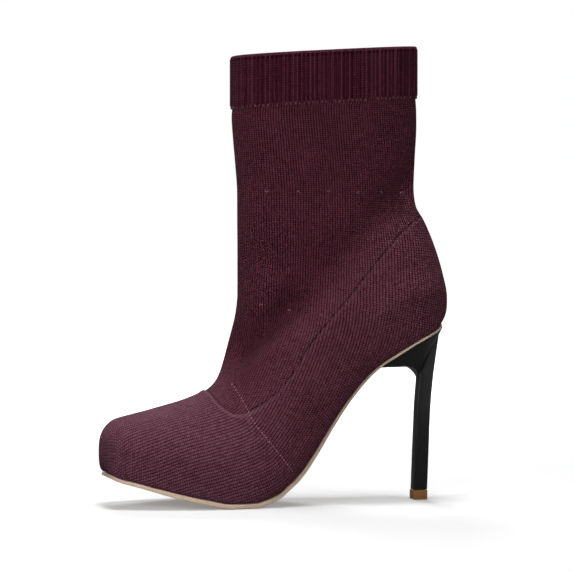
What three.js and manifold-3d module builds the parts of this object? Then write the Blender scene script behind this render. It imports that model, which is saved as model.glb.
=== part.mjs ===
// A knitted sock boot on a slim high heel, for the left foot.
// Millimetres. +X points to the toe, +Y to the wearer's left (the outer side), +Z up.
// The origin is the middle of the heel lift's under face, on the floor.
import * as THREE from "three";
import { mergeVertices } from "three/addons/utils/BufferGeometryUtils.js";
import Module from "manifold-3d";

const wasm = await Module();
wasm.setup();

// Driving dimensions of the whole boot
const FOOT_LENGTH = 218.5; // back of the heel cup to the toe, along the floor
const BACK_OVERHANG = 17.5; // the heel cup reaches this far behind the heel lift's middle
const HEEL_HEIGHT = 108; // floor to the back of the seat
const INSTEP_HEIGHT = 71.5; // floor to the crease where the leg meets the vamp
const COLLAR_HEIGHT = 278.2; // floor to the middle of the collar
const COLLAR_RISE = 7; // the collar's back stands this much above its front
const TOE_SPRING = 17; // the toe's lower edge above the tread
const BALL_WIDTH = 82; // across the ball of the foot
const LEG_WIDTH = 54; // across the flattened leg at the collar

// Walls, plates and steps
const WALL = 2; // knit with its lining
const SEAM_STEP = 0.6; // the leg lies this much deeper than the foot at their seam
const GAP = 0.3; // between neighbouring pieces
const SOLE_THICKNESS = 2.8; // outsole under the ball and toe
const SEAT_THICKNESS = 1.5; // outsole above the heel
const SHANK_TAPER = 0.85; // the outsole is this share of the way up to the seat when it is that thin
const SOLE_MARGIN = 1.2; // the outsole's edge beyond the flat of the upper
const SOLE_BEVEL = 0.5; // broken lower edge of the outsole
const TOE_CORNER = 3; // the plates' front edge is this much narrower on each side
const LASTING_MARGIN = 7; // the upper is turned under the foot by this much
const INSOLE_THICKNESS = 1.5;
const INSOLE_INSET = 2; // the insole's edge inside the flat of the upper

// Ribbed cuff
const CUFF_HEIGHT = 31;
const CUFF_STEP = 0.7; // the ribs' valleys beyond the leg
const RIB_COUNT = 52;
const RIB_DEPTH = 0.7;
const CUFF_LIP = 1.2; // height of the rounded edge at the collar
const POINTS_PER_RIB = 4; // half of them on the rib, half in the valley beside it

// Heel
const LIFT_LENGTH = 9.4;
const LIFT_WIDTH = 9.2;
const LIFT_HEIGHT = 6;
const LIFT_ROUNDING = 1.2;
const LIFT_BEVEL = 0.4;
const STEM_LEDGE = 0.4; // the stem's sides inside the lift's
const STEM_CHAMFER = 0.7;
const BREAST_ROUNDING = 9; // between the stem's front and the wing's under face
const BREAST_SHARE = 0.772; // of the heel height: the wing's under face
const WING_INSET = 0.6; // the heel's top edge inside the outsole's edge
const WING_ROOT_SHARE = 0.65; // of the heel height: where the wing grows out of the stem
const WING_REACH = 0.233; // the wing's front edge, as a share of the foot's length
const WING_HOLLOW = 1.35; // over 1 makes the wing's flare hollow

const TREAD = SOLE_THICKNESS + GAP; // the upper's under face above the floor at the ball
const COLLAR_FRONT = COLLAR_HEIGHT - COLLAR_RISE / 2;
const COLLAR_BACK = COLLAR_HEIGHT + COLLAR_RISE / 2;

// Places along the foot, as a share of its length from the back of the heel cup.
const along = (share) => share * FOOT_LENGTH - BACK_OVERHANG;
// Heights on the leg's front, from 0 at the instep crease to 1 at the collar.
const frontLevel = (share) => INSTEP_HEIGHT + share * (COLLAR_FRONT - INSTEP_HEIGHT);
// Heights under and behind the foot: 0 at the tread, 1 at the back of the seat, 2 at the collar.
const underLevel = (share) =>
  share <= 1
    ? TREAD + share * (HEEL_HEIGHT - TREAD)
    : HEEL_HEIGHT + (share - 1) * (COLLAR_BACK - HEEL_HEIGHT);

// Each section is a closed ring in a plane across the foot, between a point on its top or front
// and a point under or behind it. Lengths along the foot are shares of its length, and widths
// are half widths, as shares of the width across the ball, or of the leg's further up.
// widest: where the ring is widest, from 0 on top to 1 underneath. flat: half of its flat underside.
// square: exponents of its upper and lower curves, 2 for an ellipse and more for squarer ones.
const FOOT_COLUMNS = [
  "frontX", "tall", "underX", "spring",
  "outer", "inner", "widest", "flatOuter", "flatInner", "upperSquare", "lowerSquare",
];
// tall: a share of the instep height above the under point. spring: a share of the toe spring
// above the tread, and over 1 on the toe's front face.
const FOOT_SECTIONS = [
  [1, 0.051, 1, 1.63, 0.03, 0.03, 0.5, 0.012, 0.012, 2, 2],
  [0.999, 0.166, 0.999, 1.41, 0.1, 0.1, 0.5, 0.037, 0.037, 2.4, 2.4],
  [0.995, 0.251, 0.996, 1.27, 0.165, 0.17, 0.5, 0.085, 0.085, 2.8, 2.8],
  [0.986, 0.335, 0.991, 1.14, 0.22, 0.23, 0.52, 0.146, 0.146, 3, 3],
  [0.974, 0.413, 0.983, 1.01, 0.27, 0.28, 0.55, 0.207, 0.21, 3, 2.6],
  [0.954, 0.485, 0.96, 0.885, 0.31, 0.323, 0.6, 0.268, 0.275, 2.9, 2.4],
  [0.923, 0.542, 0.923, 0.765, 0.354, 0.366, 0.64, 0.311, 0.317, 2.7, 2.3],
  [0.876, 0.631, 0.858, 0.54, 0.41, 0.415, 0.68, 0.366, 0.372, 2.5, 2.2],
  [0.826, 0.724, 0.79, 0.32, 0.463, 0.47, 0.71, 0.421, 0.427, 2.4, 2.2],
  [0.781, 0.808, 0.721, 0.125, 0.494, 0.5, 0.72, 0.451, 0.457, 2.3, 2.2],
  [0.739, 0.882, 0.661, 0, 0.5, 0.49, 0.72, 0.455, 0.445, 2.25, 2.2],
  [0.709, 0.926, 0.593, 0, 0.485, 0.463, 0.71, 0.427, 0.396, 2.2, 2.2],
  [0.701, 0.918, 0.562, 0.1, 0.474, 0.447, 0.705, 0.402, 0.36, 2.2, 2.2],
];
// rise and level: heights by frontLevel and underLevel. leg: how far the row's widths are shares
// of the leg's width, from 0 to 1.
const LEG_COLUMNS = [
  "frontX", "rise", "underX", "level", "leg",
  "outer", "inner", "widest", "flatOuter", "flatInner", "upperSquare", "lowerSquare",
];
const LEG_SECTIONS = [
  [0.692, 0, 0.528, 0.042, 0, 0.461, 0.43, 0.7, 0.372, 0.323, 2.2, 2.2],
  [0.677, 0.015, 0.497, 0.088, 0, 0.443, 0.41, 0.69, 0.341, 0.284, 2.2, 2.2],
  [0.663, 0.04, 0.467, 0.137, 0, 0.427, 0.395, 0.67, 0.311, 0.25, 2.2, 2.2],
  [0.651, 0.079, 0.412, 0.28, 0.05, 0.416, 0.388, 0.62, 0.266, 0.205, 2.2, 2.2],
  [0.639, 0.126, 0.356, 0.452, 0.1, 0.41, 0.389, 0.57, 0.232, 0.18, 2.2, 2.2],
  [0.628, 0.17, 0.3, 0.611, 0.15, 0.41, 0.393, 0.54, 0.222, 0.18, 2.2, 2.2],
  [0.618, 0.213, 0.231, 0.765, 0.2, 0.411, 0.398, 0.53, 0.241, 0.22, 2.2, 2.1],
  [0.613, 0.25, 0.153, 0.872, 0.25, 0.413, 0.405, 0.53, 0.272, 0.263, 2.2, 2.1],
  [0.611, 0.279, 0.089, 0.947, 0.3, 0.421, 0.413, 0.54, 0.259, 0.256, 2.2, 2.1],
  [0.611, 0.299, 0.058, 0.977, 0.32, 0.423, 0.415, 0.55, 0.217, 0.217, 2.25, 2.1],
  [0.611, 0.314, 0.035, 1, 0.34, 0.425, 0.418, 0.555, 0.149, 0.149, 2.25, 2.1],
  [0.611, 0.326, 0.021, 1.009, 0.36, 0.427, 0.42, 0.56, 0.061, 0.061, 2.25, 2.1],
  [0.611, 0.341, 0.009, 1.029, 0.4, 0.431, 0.426, 0.57, 0.015, 0.015, 2.3, 2.1],
  [0.611, 0.363, 0.001, 1.063, 0.45, 0.435, 0.432, 0.575, 0.015, 0.015, 2.3, 2.1],
  [0.611, 0.393, 0.001, 1.109, 0.5, 0.438, 0.438, 0.57, 0.015, 0.015, 2.3, 2.15],
  [0.611, 0.428, 0.012, 1.178, 0.6, 0.448, 0.448, 0.56, 0.015, 0.015, 2.3, 2.2],
  [0.611, 0.467, 0.034, 1.27, 0.7, 0.453, 0.453, 0.54, 0.015, 0.015, 2.35, 2.3],
  [0.611, 0.507, 0.067, 1.371, 0.8, 0.458, 0.458, 0.52, 0.015, 0.015, 2.4, 2.35],
  [0.611, 0.546, 0.093, 1.434, 0.9, 0.468, 0.468, 0.5, 0.015, 0.015, 2.4, 2.4],
  [0.611, 0.591, 0.099, 1.494, 1, 0.485, 0.485, 0.5, 0.015, 0.015, 2.45, 2.45],
  [0.616, 0.67, 0.096, 1.598, 1, 0.485, 0.485, 0.5, 0.015, 0.015, 2.5, 2.5],
  [0.624, 0.769, 0.091, 1.718, 1, 0.49, 0.49, 0.5, 0.015, 0.015, 2.5, 2.5],
  [0.627, 0.825, 0.092, 1.79, 1, 0.5, 0.5, 0.5, 0.015, 0.015, 2.5, 2.5],
  [0.624, 0.844, 0.095, 1.819, 1, 0.5, 0.5, 0.5, 0.015, 0.015, 2.5, 2.5],
  [0.624, 1, 0.095, 2, 1, 0.5, 0.5, 0.5, 0.015, 0.015, 2.5, 2.5],
];
const TOE_FACE_COUNT = 4; // sections on the toe's front face, before the sole begins
const LEG_BACK_COUNT = 13; // sections from behind the seat up to the collar

// The seam between leg and foot, seen from the side, from the back to the front: a share of the
// foot's length, and a height that is 0 at the floor, 1 at the instep crease and 2 at the collar.
const SEAM_LINE = [
  [-0.15, 1.66], [0.03, 1.552], [0.096, 1.516], [0.156, 1.47], [0.269, 1.34], [0.374, 1.207],
  [0.478, 1.058], [0.535, 0.966], [0.569, 0.887], [0.598, 0.834], [0.624, 0.801], [0.646, 0.796],
  [0.668, 0.829], [0.688, 0.89], [0.698, 0.95], [0.707, 1.01], [0.735, 1.07],
];
const SEAM_STEPS = 44;

// The stem of the heel: share of the heel height, back, front. Lengths are shares of the lift's.
const STEM_COLUMNS = ["height", "back", "front"];
const STEM_SECTIONS = [
  [0.058, -0.49, 0.45],
  [0.37, -0.62, 0.33],
  [0.56, -0.73, 0.225],
  [0.7, -0.88, 0.095],
  [0.78, -1.0, 0.0],
  [0.86, -1.13, -0.08],
  [0.94, -1.26, -0.14],
  [1.05, -1.42, -0.2],
];

// The wing's levels between its root and the outsole, the last one past it.
const WING_LEVELS = [0.12, 0.3, 0.5, 0.7, 0.85, 1, 1.12];

// Points of one ring on each side: on its upper curve, its lower curve and its flat underside
const RING_STEPS = { upper: 10, lower: 8, flat: 4 };
const FINE_RING_STEPS = { upper: 40, lower: 40, flat: 2 };
const BREAST_STEPS = 8;

function rowsOf(columns, table) {
  return table.map((row) => Object.fromEntries(columns.map((name, i) => [name, row[i]])));
}

const mix = (a, b, t) => a + (b - a) * t;

// One section in real sizes: its two end points and its half widths.
function footSection(row) {
  const underZ = TREAD + row.spring * TOE_SPRING;
  return {
    ...row,
    front: new THREE.Vector2(along(row.frontX), underZ + row.tall * INSTEP_HEIGHT),
    under: new THREE.Vector2(along(row.underX), underZ),
    outer: row.outer * BALL_WIDTH,
    inner: row.inner * BALL_WIDTH,
    flatOuter: row.flatOuter * BALL_WIDTH,
    flatInner: row.flatInner * BALL_WIDTH,
    heelShare: 0,
  };
}

function legSection(row) {
  const across = mix(BALL_WIDTH, LEG_WIDTH, row.leg);
  return {
    ...row,
    front: new THREE.Vector2(along(row.frontX), frontLevel(row.rise)),
    under: new THREE.Vector2(along(row.underX), underLevel(row.level)),
    outer: row.outer * across,
    inner: row.inner * across,
    flatOuter: row.flatOuter * BALL_WIDTH,
    flatInner: row.flatInner * BALL_WIDTH,
    heelShare: Math.min(1, row.level),
  };
}

const sections = [
  ...rowsOf(FOOT_COLUMNS, FOOT_SECTIONS).map(footSection),
  ...rowsOf(LEG_COLUMNS, LEG_SECTIONS).map(legSection),
];

// One side of a ring, from its top to the middle of its underside, as [share down, distance out].
function halfRing(section, half, flat, steps) {
  const points = [];
  const { widest, upperSquare, lowerSquare } = section;
  for (let k = 0; k < steps.upper; k++) {
    const angle = (k / steps.upper) * (Math.PI / 2);
    points.push([
      widest * (1 - Math.cos(angle) ** (2 / upperSquare)),
      half * Math.sin(angle) ** (2 / upperSquare),
    ]);
  }
  for (let k = 0; k < steps.lower; k++) {
    const angle = (k / steps.lower) * (Math.PI / 2);
    points.push([
      widest + (1 - widest) * Math.sin(angle) ** (2 / lowerSquare),
      flat + (half - flat) * Math.cos(angle) ** (2 / lowerSquare),
    ]);
  }
  for (let k = 0; k <= steps.flat; k++) points.push([1, flat * (1 - k / steps.flat)]);
  return points;
}

// The whole ring in space: down its outer side, and up its inner one.
function ringOf(section, steps = RING_STEPS) {
  const outer = halfRing(section, section.outer, section.flatOuter, steps);
  const inner = halfRing(section, section.inner, section.flatInner, steps)
    .slice(1, -1)
    .reverse()
    .map(([down, out]) => [down, -out]);
  return [...outer, ...inner].map(([down, out]) => {
    const at = section.front.clone().lerp(section.under, down);
    return new THREE.Vector3(at.x, out, at.y);
  });
}

// The surface's outward direction at each point of a list of rings.
function normalsOf(rings) {
  const count = rings[0].length;
  return rings.map((ring, i) =>
    ring.map((point, j) => {
      const before = rings[Math.max(0, i - 1)][j];
      const after = rings[Math.min(rings.length - 1, i + 1)][j];
      const lengthwise = after.clone().sub(before);
      const around = ring[(j + 1) % count].clone().sub(ring[(j + count - 1) % count]);
      return around.cross(lengthwise).normalize();
    }),
  );
}

function grown(rings, distance) {
  const normals = normalsOf(rings);
  return rings.map((ring, i) =>
    ring.map((point, j) => point.clone().addScaledVector(normals[i][j], distance)),
  );
}

// A solid from a three.js geometry, with shared points merged and triangles without area dropped.
function manifoldOf(geometry) {
  const plain = geometry.clone();
  plain.deleteAttribute("normal");
  plain.deleteAttribute("uv");
  const merged = mergeVertices(plain, 1e-4);
  const index = merged.index.array;
  const kept = [];
  for (let i = 0; i < index.length; i += 3) {
    const [a, b, c] = index.slice(i, i + 3);
    if (a !== b && b !== c && c !== a) kept.push(a, b, c);
  }
  return new wasm.Manifold(
    new wasm.Mesh({
      numProp: 3,
      vertProperties: new Float32Array(merged.attributes.position.array),
      triVerts: new Uint32Array(kept),
    }),
  );
}

function geometryFrom(solid) {
  const mesh = solid.getMesh();
  const geometry = new THREE.BufferGeometry();
  geometry.setAttribute("position", new THREE.BufferAttribute(mesh.vertProperties, 3));
  geometry.setIndex(new THREE.BufferAttribute(mesh.triVerts, 1));
  geometry.computeVertexNormals();
  return geometry;
}

const middleOf = (ring) =>
  ring.reduce((sum, p) => sum.add(p), new THREE.Vector3()).divideScalar(ring.length);

// A closed solid through a list of rings, with a fan over each end. The rings may run either way.
function loft(rings) {
  const count = rings[0].length;
  const points = rings.flat();
  const triangles = [];
  for (let i = 0; i + 1 < rings.length; i++) {
    for (let j = 0; j < count; j++) {
      const a = i * count + j;
      const b = i * count + ((j + 1) % count);
      triangles.push([a, b, b + count], [a, b + count, a + count]);
    }
  }
  const last = (rings.length - 1) * count;
  points.push(middleOf(rings[0]), middleOf(rings.at(-1)));
  for (let j = 0; j < count; j++) {
    const next = (j + 1) % count;
    triangles.push([points.length - 2, next, j]);
    triangles.push([points.length - 1, last + j, last + next]);
  }
  const closed = (faces) => {
    const geometry = new THREE.BufferGeometry().setFromPoints(points);
    geometry.setIndex(faces.flat());
    return manifoldOf(geometry);
  };
  const solid = closed(triangles);
  return solid.volume() > 0 ? solid : closed(triangles.map(([a, b, c]) => [a, c, b]));
}

// A prism across the boot, from its outline seen from the side.
function sidePrism(outline) {
  const shape = new THREE.Shape(outline);
  const reach = BALL_WIDTH;
  const prism = new THREE.ExtrudeGeometry(shape, { depth: 2 * reach, bevelEnabled: false });
  prism.rotateX(Math.PI / 2);
  prism.translate(0, reach, 0);
  return manifoldOf(prism);
}

// The under line of the foot, from the toe to the back of the seat, with the direction that
// points up into the boot at each section. It is level where the tread is level.
const slopeBetween = (before, after) => (before * after <= 0 ? 0 : (2 * before * after) / (before + after));

const underLine = [];
const seatEnd = sections.length - LEG_BACK_COUNT - 1;
for (let i = TOE_FACE_COUNT; i <= seatEnd; i++) {
  const section = sections[i];
  const stepIn = section.under.clone().sub(sections[i - 1].under);
  const stepOut = sections[i + 1].under.clone().sub(section.under);
  const ahead = new THREE.Vector2(slopeBetween(stepIn.x, stepOut.x), slopeBetween(stepIn.y, stepOut.y));
  if (i === TOE_FACE_COUNT) ahead.copy(stepOut);
  if (i === seatEnd) ahead.copy(stepIn);
  ahead.normalize();
  const travel = underLine.length ? underLine.at(-1).travel + stepIn.length() : 0;
  underLine.push({ ...section, ahead, up: new THREE.Vector2(ahead.y, -ahead.x), travel });
}
const underLength = underLine.at(-1).travel;

// The station at a distance from the toe along the under line, or straight on past its ends.
function stationAt(travel) {
  if (travel <= 0 || travel >= underLength) {
    const end = travel <= 0 ? underLine[0] : underLine.at(-1);
    return { ...end, travel, under: end.under.clone().addScaledVector(end.ahead, travel - end.travel) };
  }
  const next = underLine.findIndex((s) => s.travel > travel);
  const [a, b] = [underLine[next - 1], underLine[next]];
  const t = (travel - a.travel) / (b.travel - a.travel);
  return {
    travel,
    under: a.under.clone().lerp(b.under, t),
    up: a.up.clone().lerp(b.up, t).normalize(),
    flatOuter: mix(a.flatOuter, b.flatOuter, t),
    flatInner: mix(a.flatInner, b.flatInner, t),
    heelShare: mix(a.heelShare, b.heelShare, t),
  };
}

// A plate that follows the under line: margin widens it and lengthens it at both ends.
function plate({ lower, upper, margin, bevel = 0 }) {
  const narrowed = (s, less) => ({ ...s, flatOuter: s.flatOuter - less, flatInner: s.flatInner - less });
  const between = underLine.filter((s) => s.travel > -margin && s.travel < underLength + margin);
  const stations = [
    narrowed(stationAt(-margin), TOE_CORNER),
    ...between,
    narrowed(stationAt(underLength + margin), Math.max(0, margin)),
  ];
  return loft(
    stations.map((s) => {
      const [low, high] = [lower(s), upper(s)];
      const outer = Math.max(bevel + GAP, s.flatOuter + margin);
      const inner = Math.max(bevel + GAP, s.flatInner + margin);
      const across = [
        [0, high], [outer, high], [outer, low + bevel], [outer - bevel, low],
        [0, low], [bevel - inner, low], [-inner, low + bevel], [-inner, high],
      ];
      return across.map(([y, height]) => {
        const at = s.under.clone().addScaledVector(s.up, height);
        return new THREE.Vector3(at.x, y, at.y);
      });
    }),
  );
}

const soleThickness = (s) => mix(SOLE_THICKNESS, SEAT_THICKNESS, Math.min(1, s.heelShare / SHANK_TAPER));

function makeOutsole() {
  return plate({
    lower: (s) => -GAP - soleThickness(s),
    upper: () => -GAP,
    margin: SOLE_MARGIN,
    bevel: SOLE_BEVEL,
  });
}

function makeInsole() {
  return plate({
    lower: () => WALL + GAP,
    upper: () => WALL + GAP + INSOLE_THICKNESS,
    margin: -INSOLE_INSET,
  });
}

// The ring of the leg at a height between its last two sections: 0 below, 1 at the collar.
function legRing(share, steps) {
  const [below, top] = sections.slice(-2);
  const between = { ...top };
  for (const name of ["outer", "inner", "flatOuter", "flatInner", "widest", "upperSquare", "lowerSquare"])
    between[name] = mix(below[name], top[name], share);
  between.front = below.front.clone().lerp(top.front, share);
  between.under = below.under.clone().lerp(top.under, share);
  return ringOf(between, steps);
}

// A ring laid out again as evenly spaced points, pushed outwards by a distance for each point.
function evenRing(ring, count, distance) {
  const closed = [...ring, ring[0]];
  const lengths = closed.slice(1).map((p, i) => p.distanceTo(closed[i]));
  const total = lengths.reduce((a, b) => a + b, 0);
  const middle = middleOf(ring);
  const points = [];
  let [segment, passed] = [0, 0];
  for (let k = 0; k < count; k++) {
    const target = (k / count) * total;
    while (passed + lengths[segment] < target) passed += lengths[segment++];
    const at = closed[segment].clone().lerp(closed[segment + 1], (target - passed) / lengths[segment]);
    const way = closed[segment + 1].clone().sub(closed[segment]);
    const out = way.cross(new THREE.Vector3(0, 0, 1)).normalize();
    if (out.dot(at.clone().sub(middle)) < 0) out.negate();
    points.push(at.addScaledVector(out, distance(k)));
  }
  return points;
}

// The ribbed cuff as a solid plug, whose inside is taken out with the rest of the leg's.
function makeCuff() {
  const [below, top] = sections.slice(-2);
  const tall = top.front.distanceTo(below.front);
  const start = 1 - CUFF_HEIGHT / tall;
  const rib = (k) => (k % POINTS_PER_RIB < POINTS_PER_RIB / 2 ? RIB_DEPTH : 0);
  const level = (share, step) =>
    evenRing(legRing(share, FINE_RING_STEPS), RIB_COUNT * POINTS_PER_RIB, (k) => step + rib(k));
  return loft([
    level(start, CUFF_STEP),
    level(1 - CUFF_LIP / tall, CUFF_STEP),
    level(1, CUFF_STEP - CUFF_LIP / 2),
  ]);
}

// The foot's side of the seam, seen from the side.
function footRegion() {
  const height = (share) => (share <= 1 ? share * INSTEP_HEIGHT : frontLevel(share - 1));
  const seam = new THREE.SplineCurve(SEAM_LINE.map(([x, z]) => new THREE.Vector2(along(x), height(z))));
  const reach = FOOT_LENGTH;
  const points = seam.getPoints(SEAM_STEPS);
  const [back, front] = [points[0], points[points.length - 1]];
  return sidePrism([
    ...points,
    new THREE.Vector2(front.x + reach, front.y),
    new THREE.Vector2(front.x + reach, -reach),
    new THREE.Vector2(back.x - reach, -reach),
    new THREE.Vector2(back.x - reach, back.y),
  ]);
}

function makeUpper() {
  const rings = sections.map((section) => ringOf(section));
  const beyondCollar = (from) => {
    const [below, top] = from.slice(-2);
    return top.map((p, j) => p.clone().addScaledVector(p.clone().sub(below[j]).normalize(), 2 * WALL));
  };
  const foot = loft(rings).intersect(footRegion());
  const leg = loft(grown(rings, -SEAM_STEP));
  const inside = grown(rings, -WALL);
  const cavity = loft([...inside, beyondCollar(inside)]);
  const opening = plate({ lower: () => -WALL, upper: () => WALL + GAP, margin: -LASTING_MARGIN });
  return foot.add(leg).add(makeCuff()).subtract(cavity).subtract(opening);
}

// The stem of the heel, a chamfered square that leans back as it rises.
function makeStem() {
  const half = LIFT_WIDTH / 2 - STEM_LEDGE;
  return loft(
    rowsOf(STEM_COLUMNS, STEM_SECTIONS).map((row, i) => {
      const z = i === 0 ? LIFT_HEIGHT + GAP : row.height * HEEL_HEIGHT;
      const [back, front] = [row.back * LIFT_LENGTH, row.front * LIFT_LENGTH];
      const c = STEM_CHAMFER;
      return [
        [front, c - half], [front, half - c], [front - c, half], [back + c, half],
        [back, half - c], [back, c - half], [back + c, -half], [front - c, -half],
      ]
        .reverse()
        .map(([x, y]) => new THREE.Vector3(x, y, z));
    }),
  );
}

// The wing that carries the seat: it flares from a root on the stem to the outsole's edge.
function makeWing() {
  const seat = underLine.filter((s) => s.under.x <= along(WING_REACH)).reverse();
  const edge = (side) =>
    seat.map((s) => {
      const at = s.under.clone().addScaledVector(s.up, -GAP - soleThickness(s) - GAP);
      const half = side > 0 ? s.flatOuter : s.flatInner;
      return new THREE.Vector3(at.x, side * (half + SOLE_MARGIN - WING_INSET), at.y);
    });
  const rim = [...edge(1), ...edge(-1).reverse()];
  const root = new THREE.Vector3(0, 0, WING_ROOT_SHARE * HEEL_HEIGHT);
  return loft(
    WING_LEVELS.map((share) =>
      rim.map((p) => {
        const out = share ** WING_HOLLOW;
        return new THREE.Vector3(mix(root.x, p.x, out), p.y * out, mix(root.z, p.z, share));
      }),
    ),
  );
}

// What is cut away in front of the stem, below the wing's under face.
function breastCutter() {
  const ceiling = BREAST_SHARE * HEEL_HEIGHT;
  const front = rowsOf(STEM_COLUMNS, STEM_SECTIONS)
    .map((row) => new THREE.Vector2(row.front * LIFT_LENGTH, row.height * HEEL_HEIGHT))
    .filter((p) => p.y < ceiling - BREAST_ROUNDING / 2);
  const corner = front.at(-1);
  const arc = new THREE.EllipseCurve(
    corner.x + BREAST_ROUNDING, ceiling - BREAST_ROUNDING,
    BREAST_ROUNDING, BREAST_ROUNDING, Math.PI, Math.PI / 2, true,
  );
  const reach = FOOT_LENGTH / 2;
  return sidePrism([
    new THREE.Vector2(front[0].x, 0),
    ...front.slice(0, -1),
    ...arc.getPoints(BREAST_STEPS),
    new THREE.Vector2(reach, ceiling),
    new THREE.Vector2(reach, 0),
  ]);
}

// Everything above the outsole's under face, with a gap, seen from the side.
function seatSpace() {
  const line = underLine.map((s) => s.under.clone().addScaledVector(s.up, -soleThickness(s) - 2 * GAP));
  const [toe, back] = [line[0], line.at(-1)];
  const beyond = back.clone().addScaledVector(underLine.at(-1).ahead, BACK_OVERHANG);
  return sidePrism([
    ...line,
    beyond,
    new THREE.Vector2(beyond.x, COLLAR_HEIGHT),
    new THREE.Vector2(toe.x, COLLAR_HEIGHT),
  ]);
}

function makeHeel() {
  return makeStem().add(makeWing()).subtract(seatSpace()).subtract(breastCutter());
}

function makeLift() {
  const [x, y, r] = [LIFT_LENGTH / 2 - LIFT_BEVEL, LIFT_WIDTH / 2 - LIFT_BEVEL, LIFT_ROUNDING];
  const shape = new THREE.Shape()
    .moveTo(-x + r, -y)
    .lineTo(x - r, -y)
    .absarc(x - r, -y + r, r, -Math.PI / 2, 0)
    .lineTo(x, y - r)
    .absarc(x - r, y - r, r, 0, Math.PI / 2)
    .lineTo(-x + r, y)
    .absarc(-x + r, y - r, r, Math.PI / 2, Math.PI)
    .lineTo(-x, -y + r)
    .absarc(-x + r, -y + r, r, Math.PI, 1.5 * Math.PI);
  const lift = new THREE.ExtrudeGeometry(shape, {
    depth: LIFT_HEIGHT - 2 * LIFT_BEVEL,
    bevelThickness: LIFT_BEVEL,
    bevelSize: LIFT_BEVEL,
    bevelSegments: 2,
    curveSegments: 4,
  });
  lift.translate(0, 0, LIFT_BEVEL);
  return manifoldOf(lift);
}

const knit = new THREE.MeshStandardMaterial({ color: 0x4a2230, roughness: 0.95, metalness: 0 });
const soleRubber = new THREE.MeshStandardMaterial({ color: 0xa68e7c, roughness: 0.6, metalness: 0 });
const insoleBoard = new THREE.MeshStandardMaterial({ color: 0xb79a83, roughness: 0.8, metalness: 0 });
const heelPlastic = new THREE.MeshStandardMaterial({ color: 0x1f1f1f, roughness: 0.35, metalness: 0 });
const liftRubber = new THREE.MeshStandardMaterial({ color: 0x6f4d2e, roughness: 0.6, metalness: 0 });

const boot = new THREE.Group();
boot.name = "sock_boot";
for (const [name, solid, material] of [
  ["upper", makeUpper(), knit],
  ["outsole", makeOutsole(), soleRubber],
  ["insole", makeInsole(), insoleBoard],
  ["heel", makeHeel(), heelPlastic],
  ["heel_lift", makeLift(), liftRubber],
]) {
  const mesh = new THREE.Mesh(geometryFrom(solid), material);
  mesh.name = name;
  boot.add(mesh);
}

export default boot;
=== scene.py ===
"""The looks of a knitted sock boot on a slim high heel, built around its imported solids.

Blender's lengths are metres. The tables, and the sizes that the classes hold, are millimetres.
+X points to the toe, +Y to the wearer's outer side, +Z up, and the origin is the middle of the
heel lift's under face, on the floor.
"""
import logging
import math
from dataclasses import dataclass, field
from enum import Enum

import bmesh
import bpy
import numpy as np
from mathutils import Matrix, Vector


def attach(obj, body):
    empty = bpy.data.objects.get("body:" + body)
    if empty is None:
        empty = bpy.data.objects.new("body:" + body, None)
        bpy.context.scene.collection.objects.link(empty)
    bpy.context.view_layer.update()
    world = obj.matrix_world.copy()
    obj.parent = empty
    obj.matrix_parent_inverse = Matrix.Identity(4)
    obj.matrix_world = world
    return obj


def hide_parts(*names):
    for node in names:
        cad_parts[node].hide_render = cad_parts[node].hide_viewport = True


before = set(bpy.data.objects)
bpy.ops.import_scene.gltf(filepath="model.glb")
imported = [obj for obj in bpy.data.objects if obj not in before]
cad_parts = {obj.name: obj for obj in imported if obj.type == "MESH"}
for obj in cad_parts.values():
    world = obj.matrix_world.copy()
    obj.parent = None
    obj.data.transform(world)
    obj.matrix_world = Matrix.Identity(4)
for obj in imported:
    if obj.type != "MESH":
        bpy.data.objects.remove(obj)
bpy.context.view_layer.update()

logging.basicConfig(level=logging.INFO, format="%(message)s")
log = logging.getLogger("sock_boot")

MM = 0.001
BODY = "root"
KNIT_MAP = "knit_map"
SEAM_DISTANCE = "seam_distance"
RIB_HEIGHT = "rib_height"
SEED = 11
SHARP_ANGLE = math.radians(35)

Colour = tuple[float, float, float]
Socket = bpy.types.NodeSocket

# Places in the side view: x and z of a point
SIDE_VIEW = [0, 2]

# Columns of a section in real lengths: two places in the side view, and eight numbers
FRONT = slice(0, 2)
UNDER = slice(2, 4)
OUTER, INNER, WIDEST, FLAT_OUTER, FLAT_INNER, UPPER_SQUARE, LOWER_SQUARE, LEVEL = range(4, 12)

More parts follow.
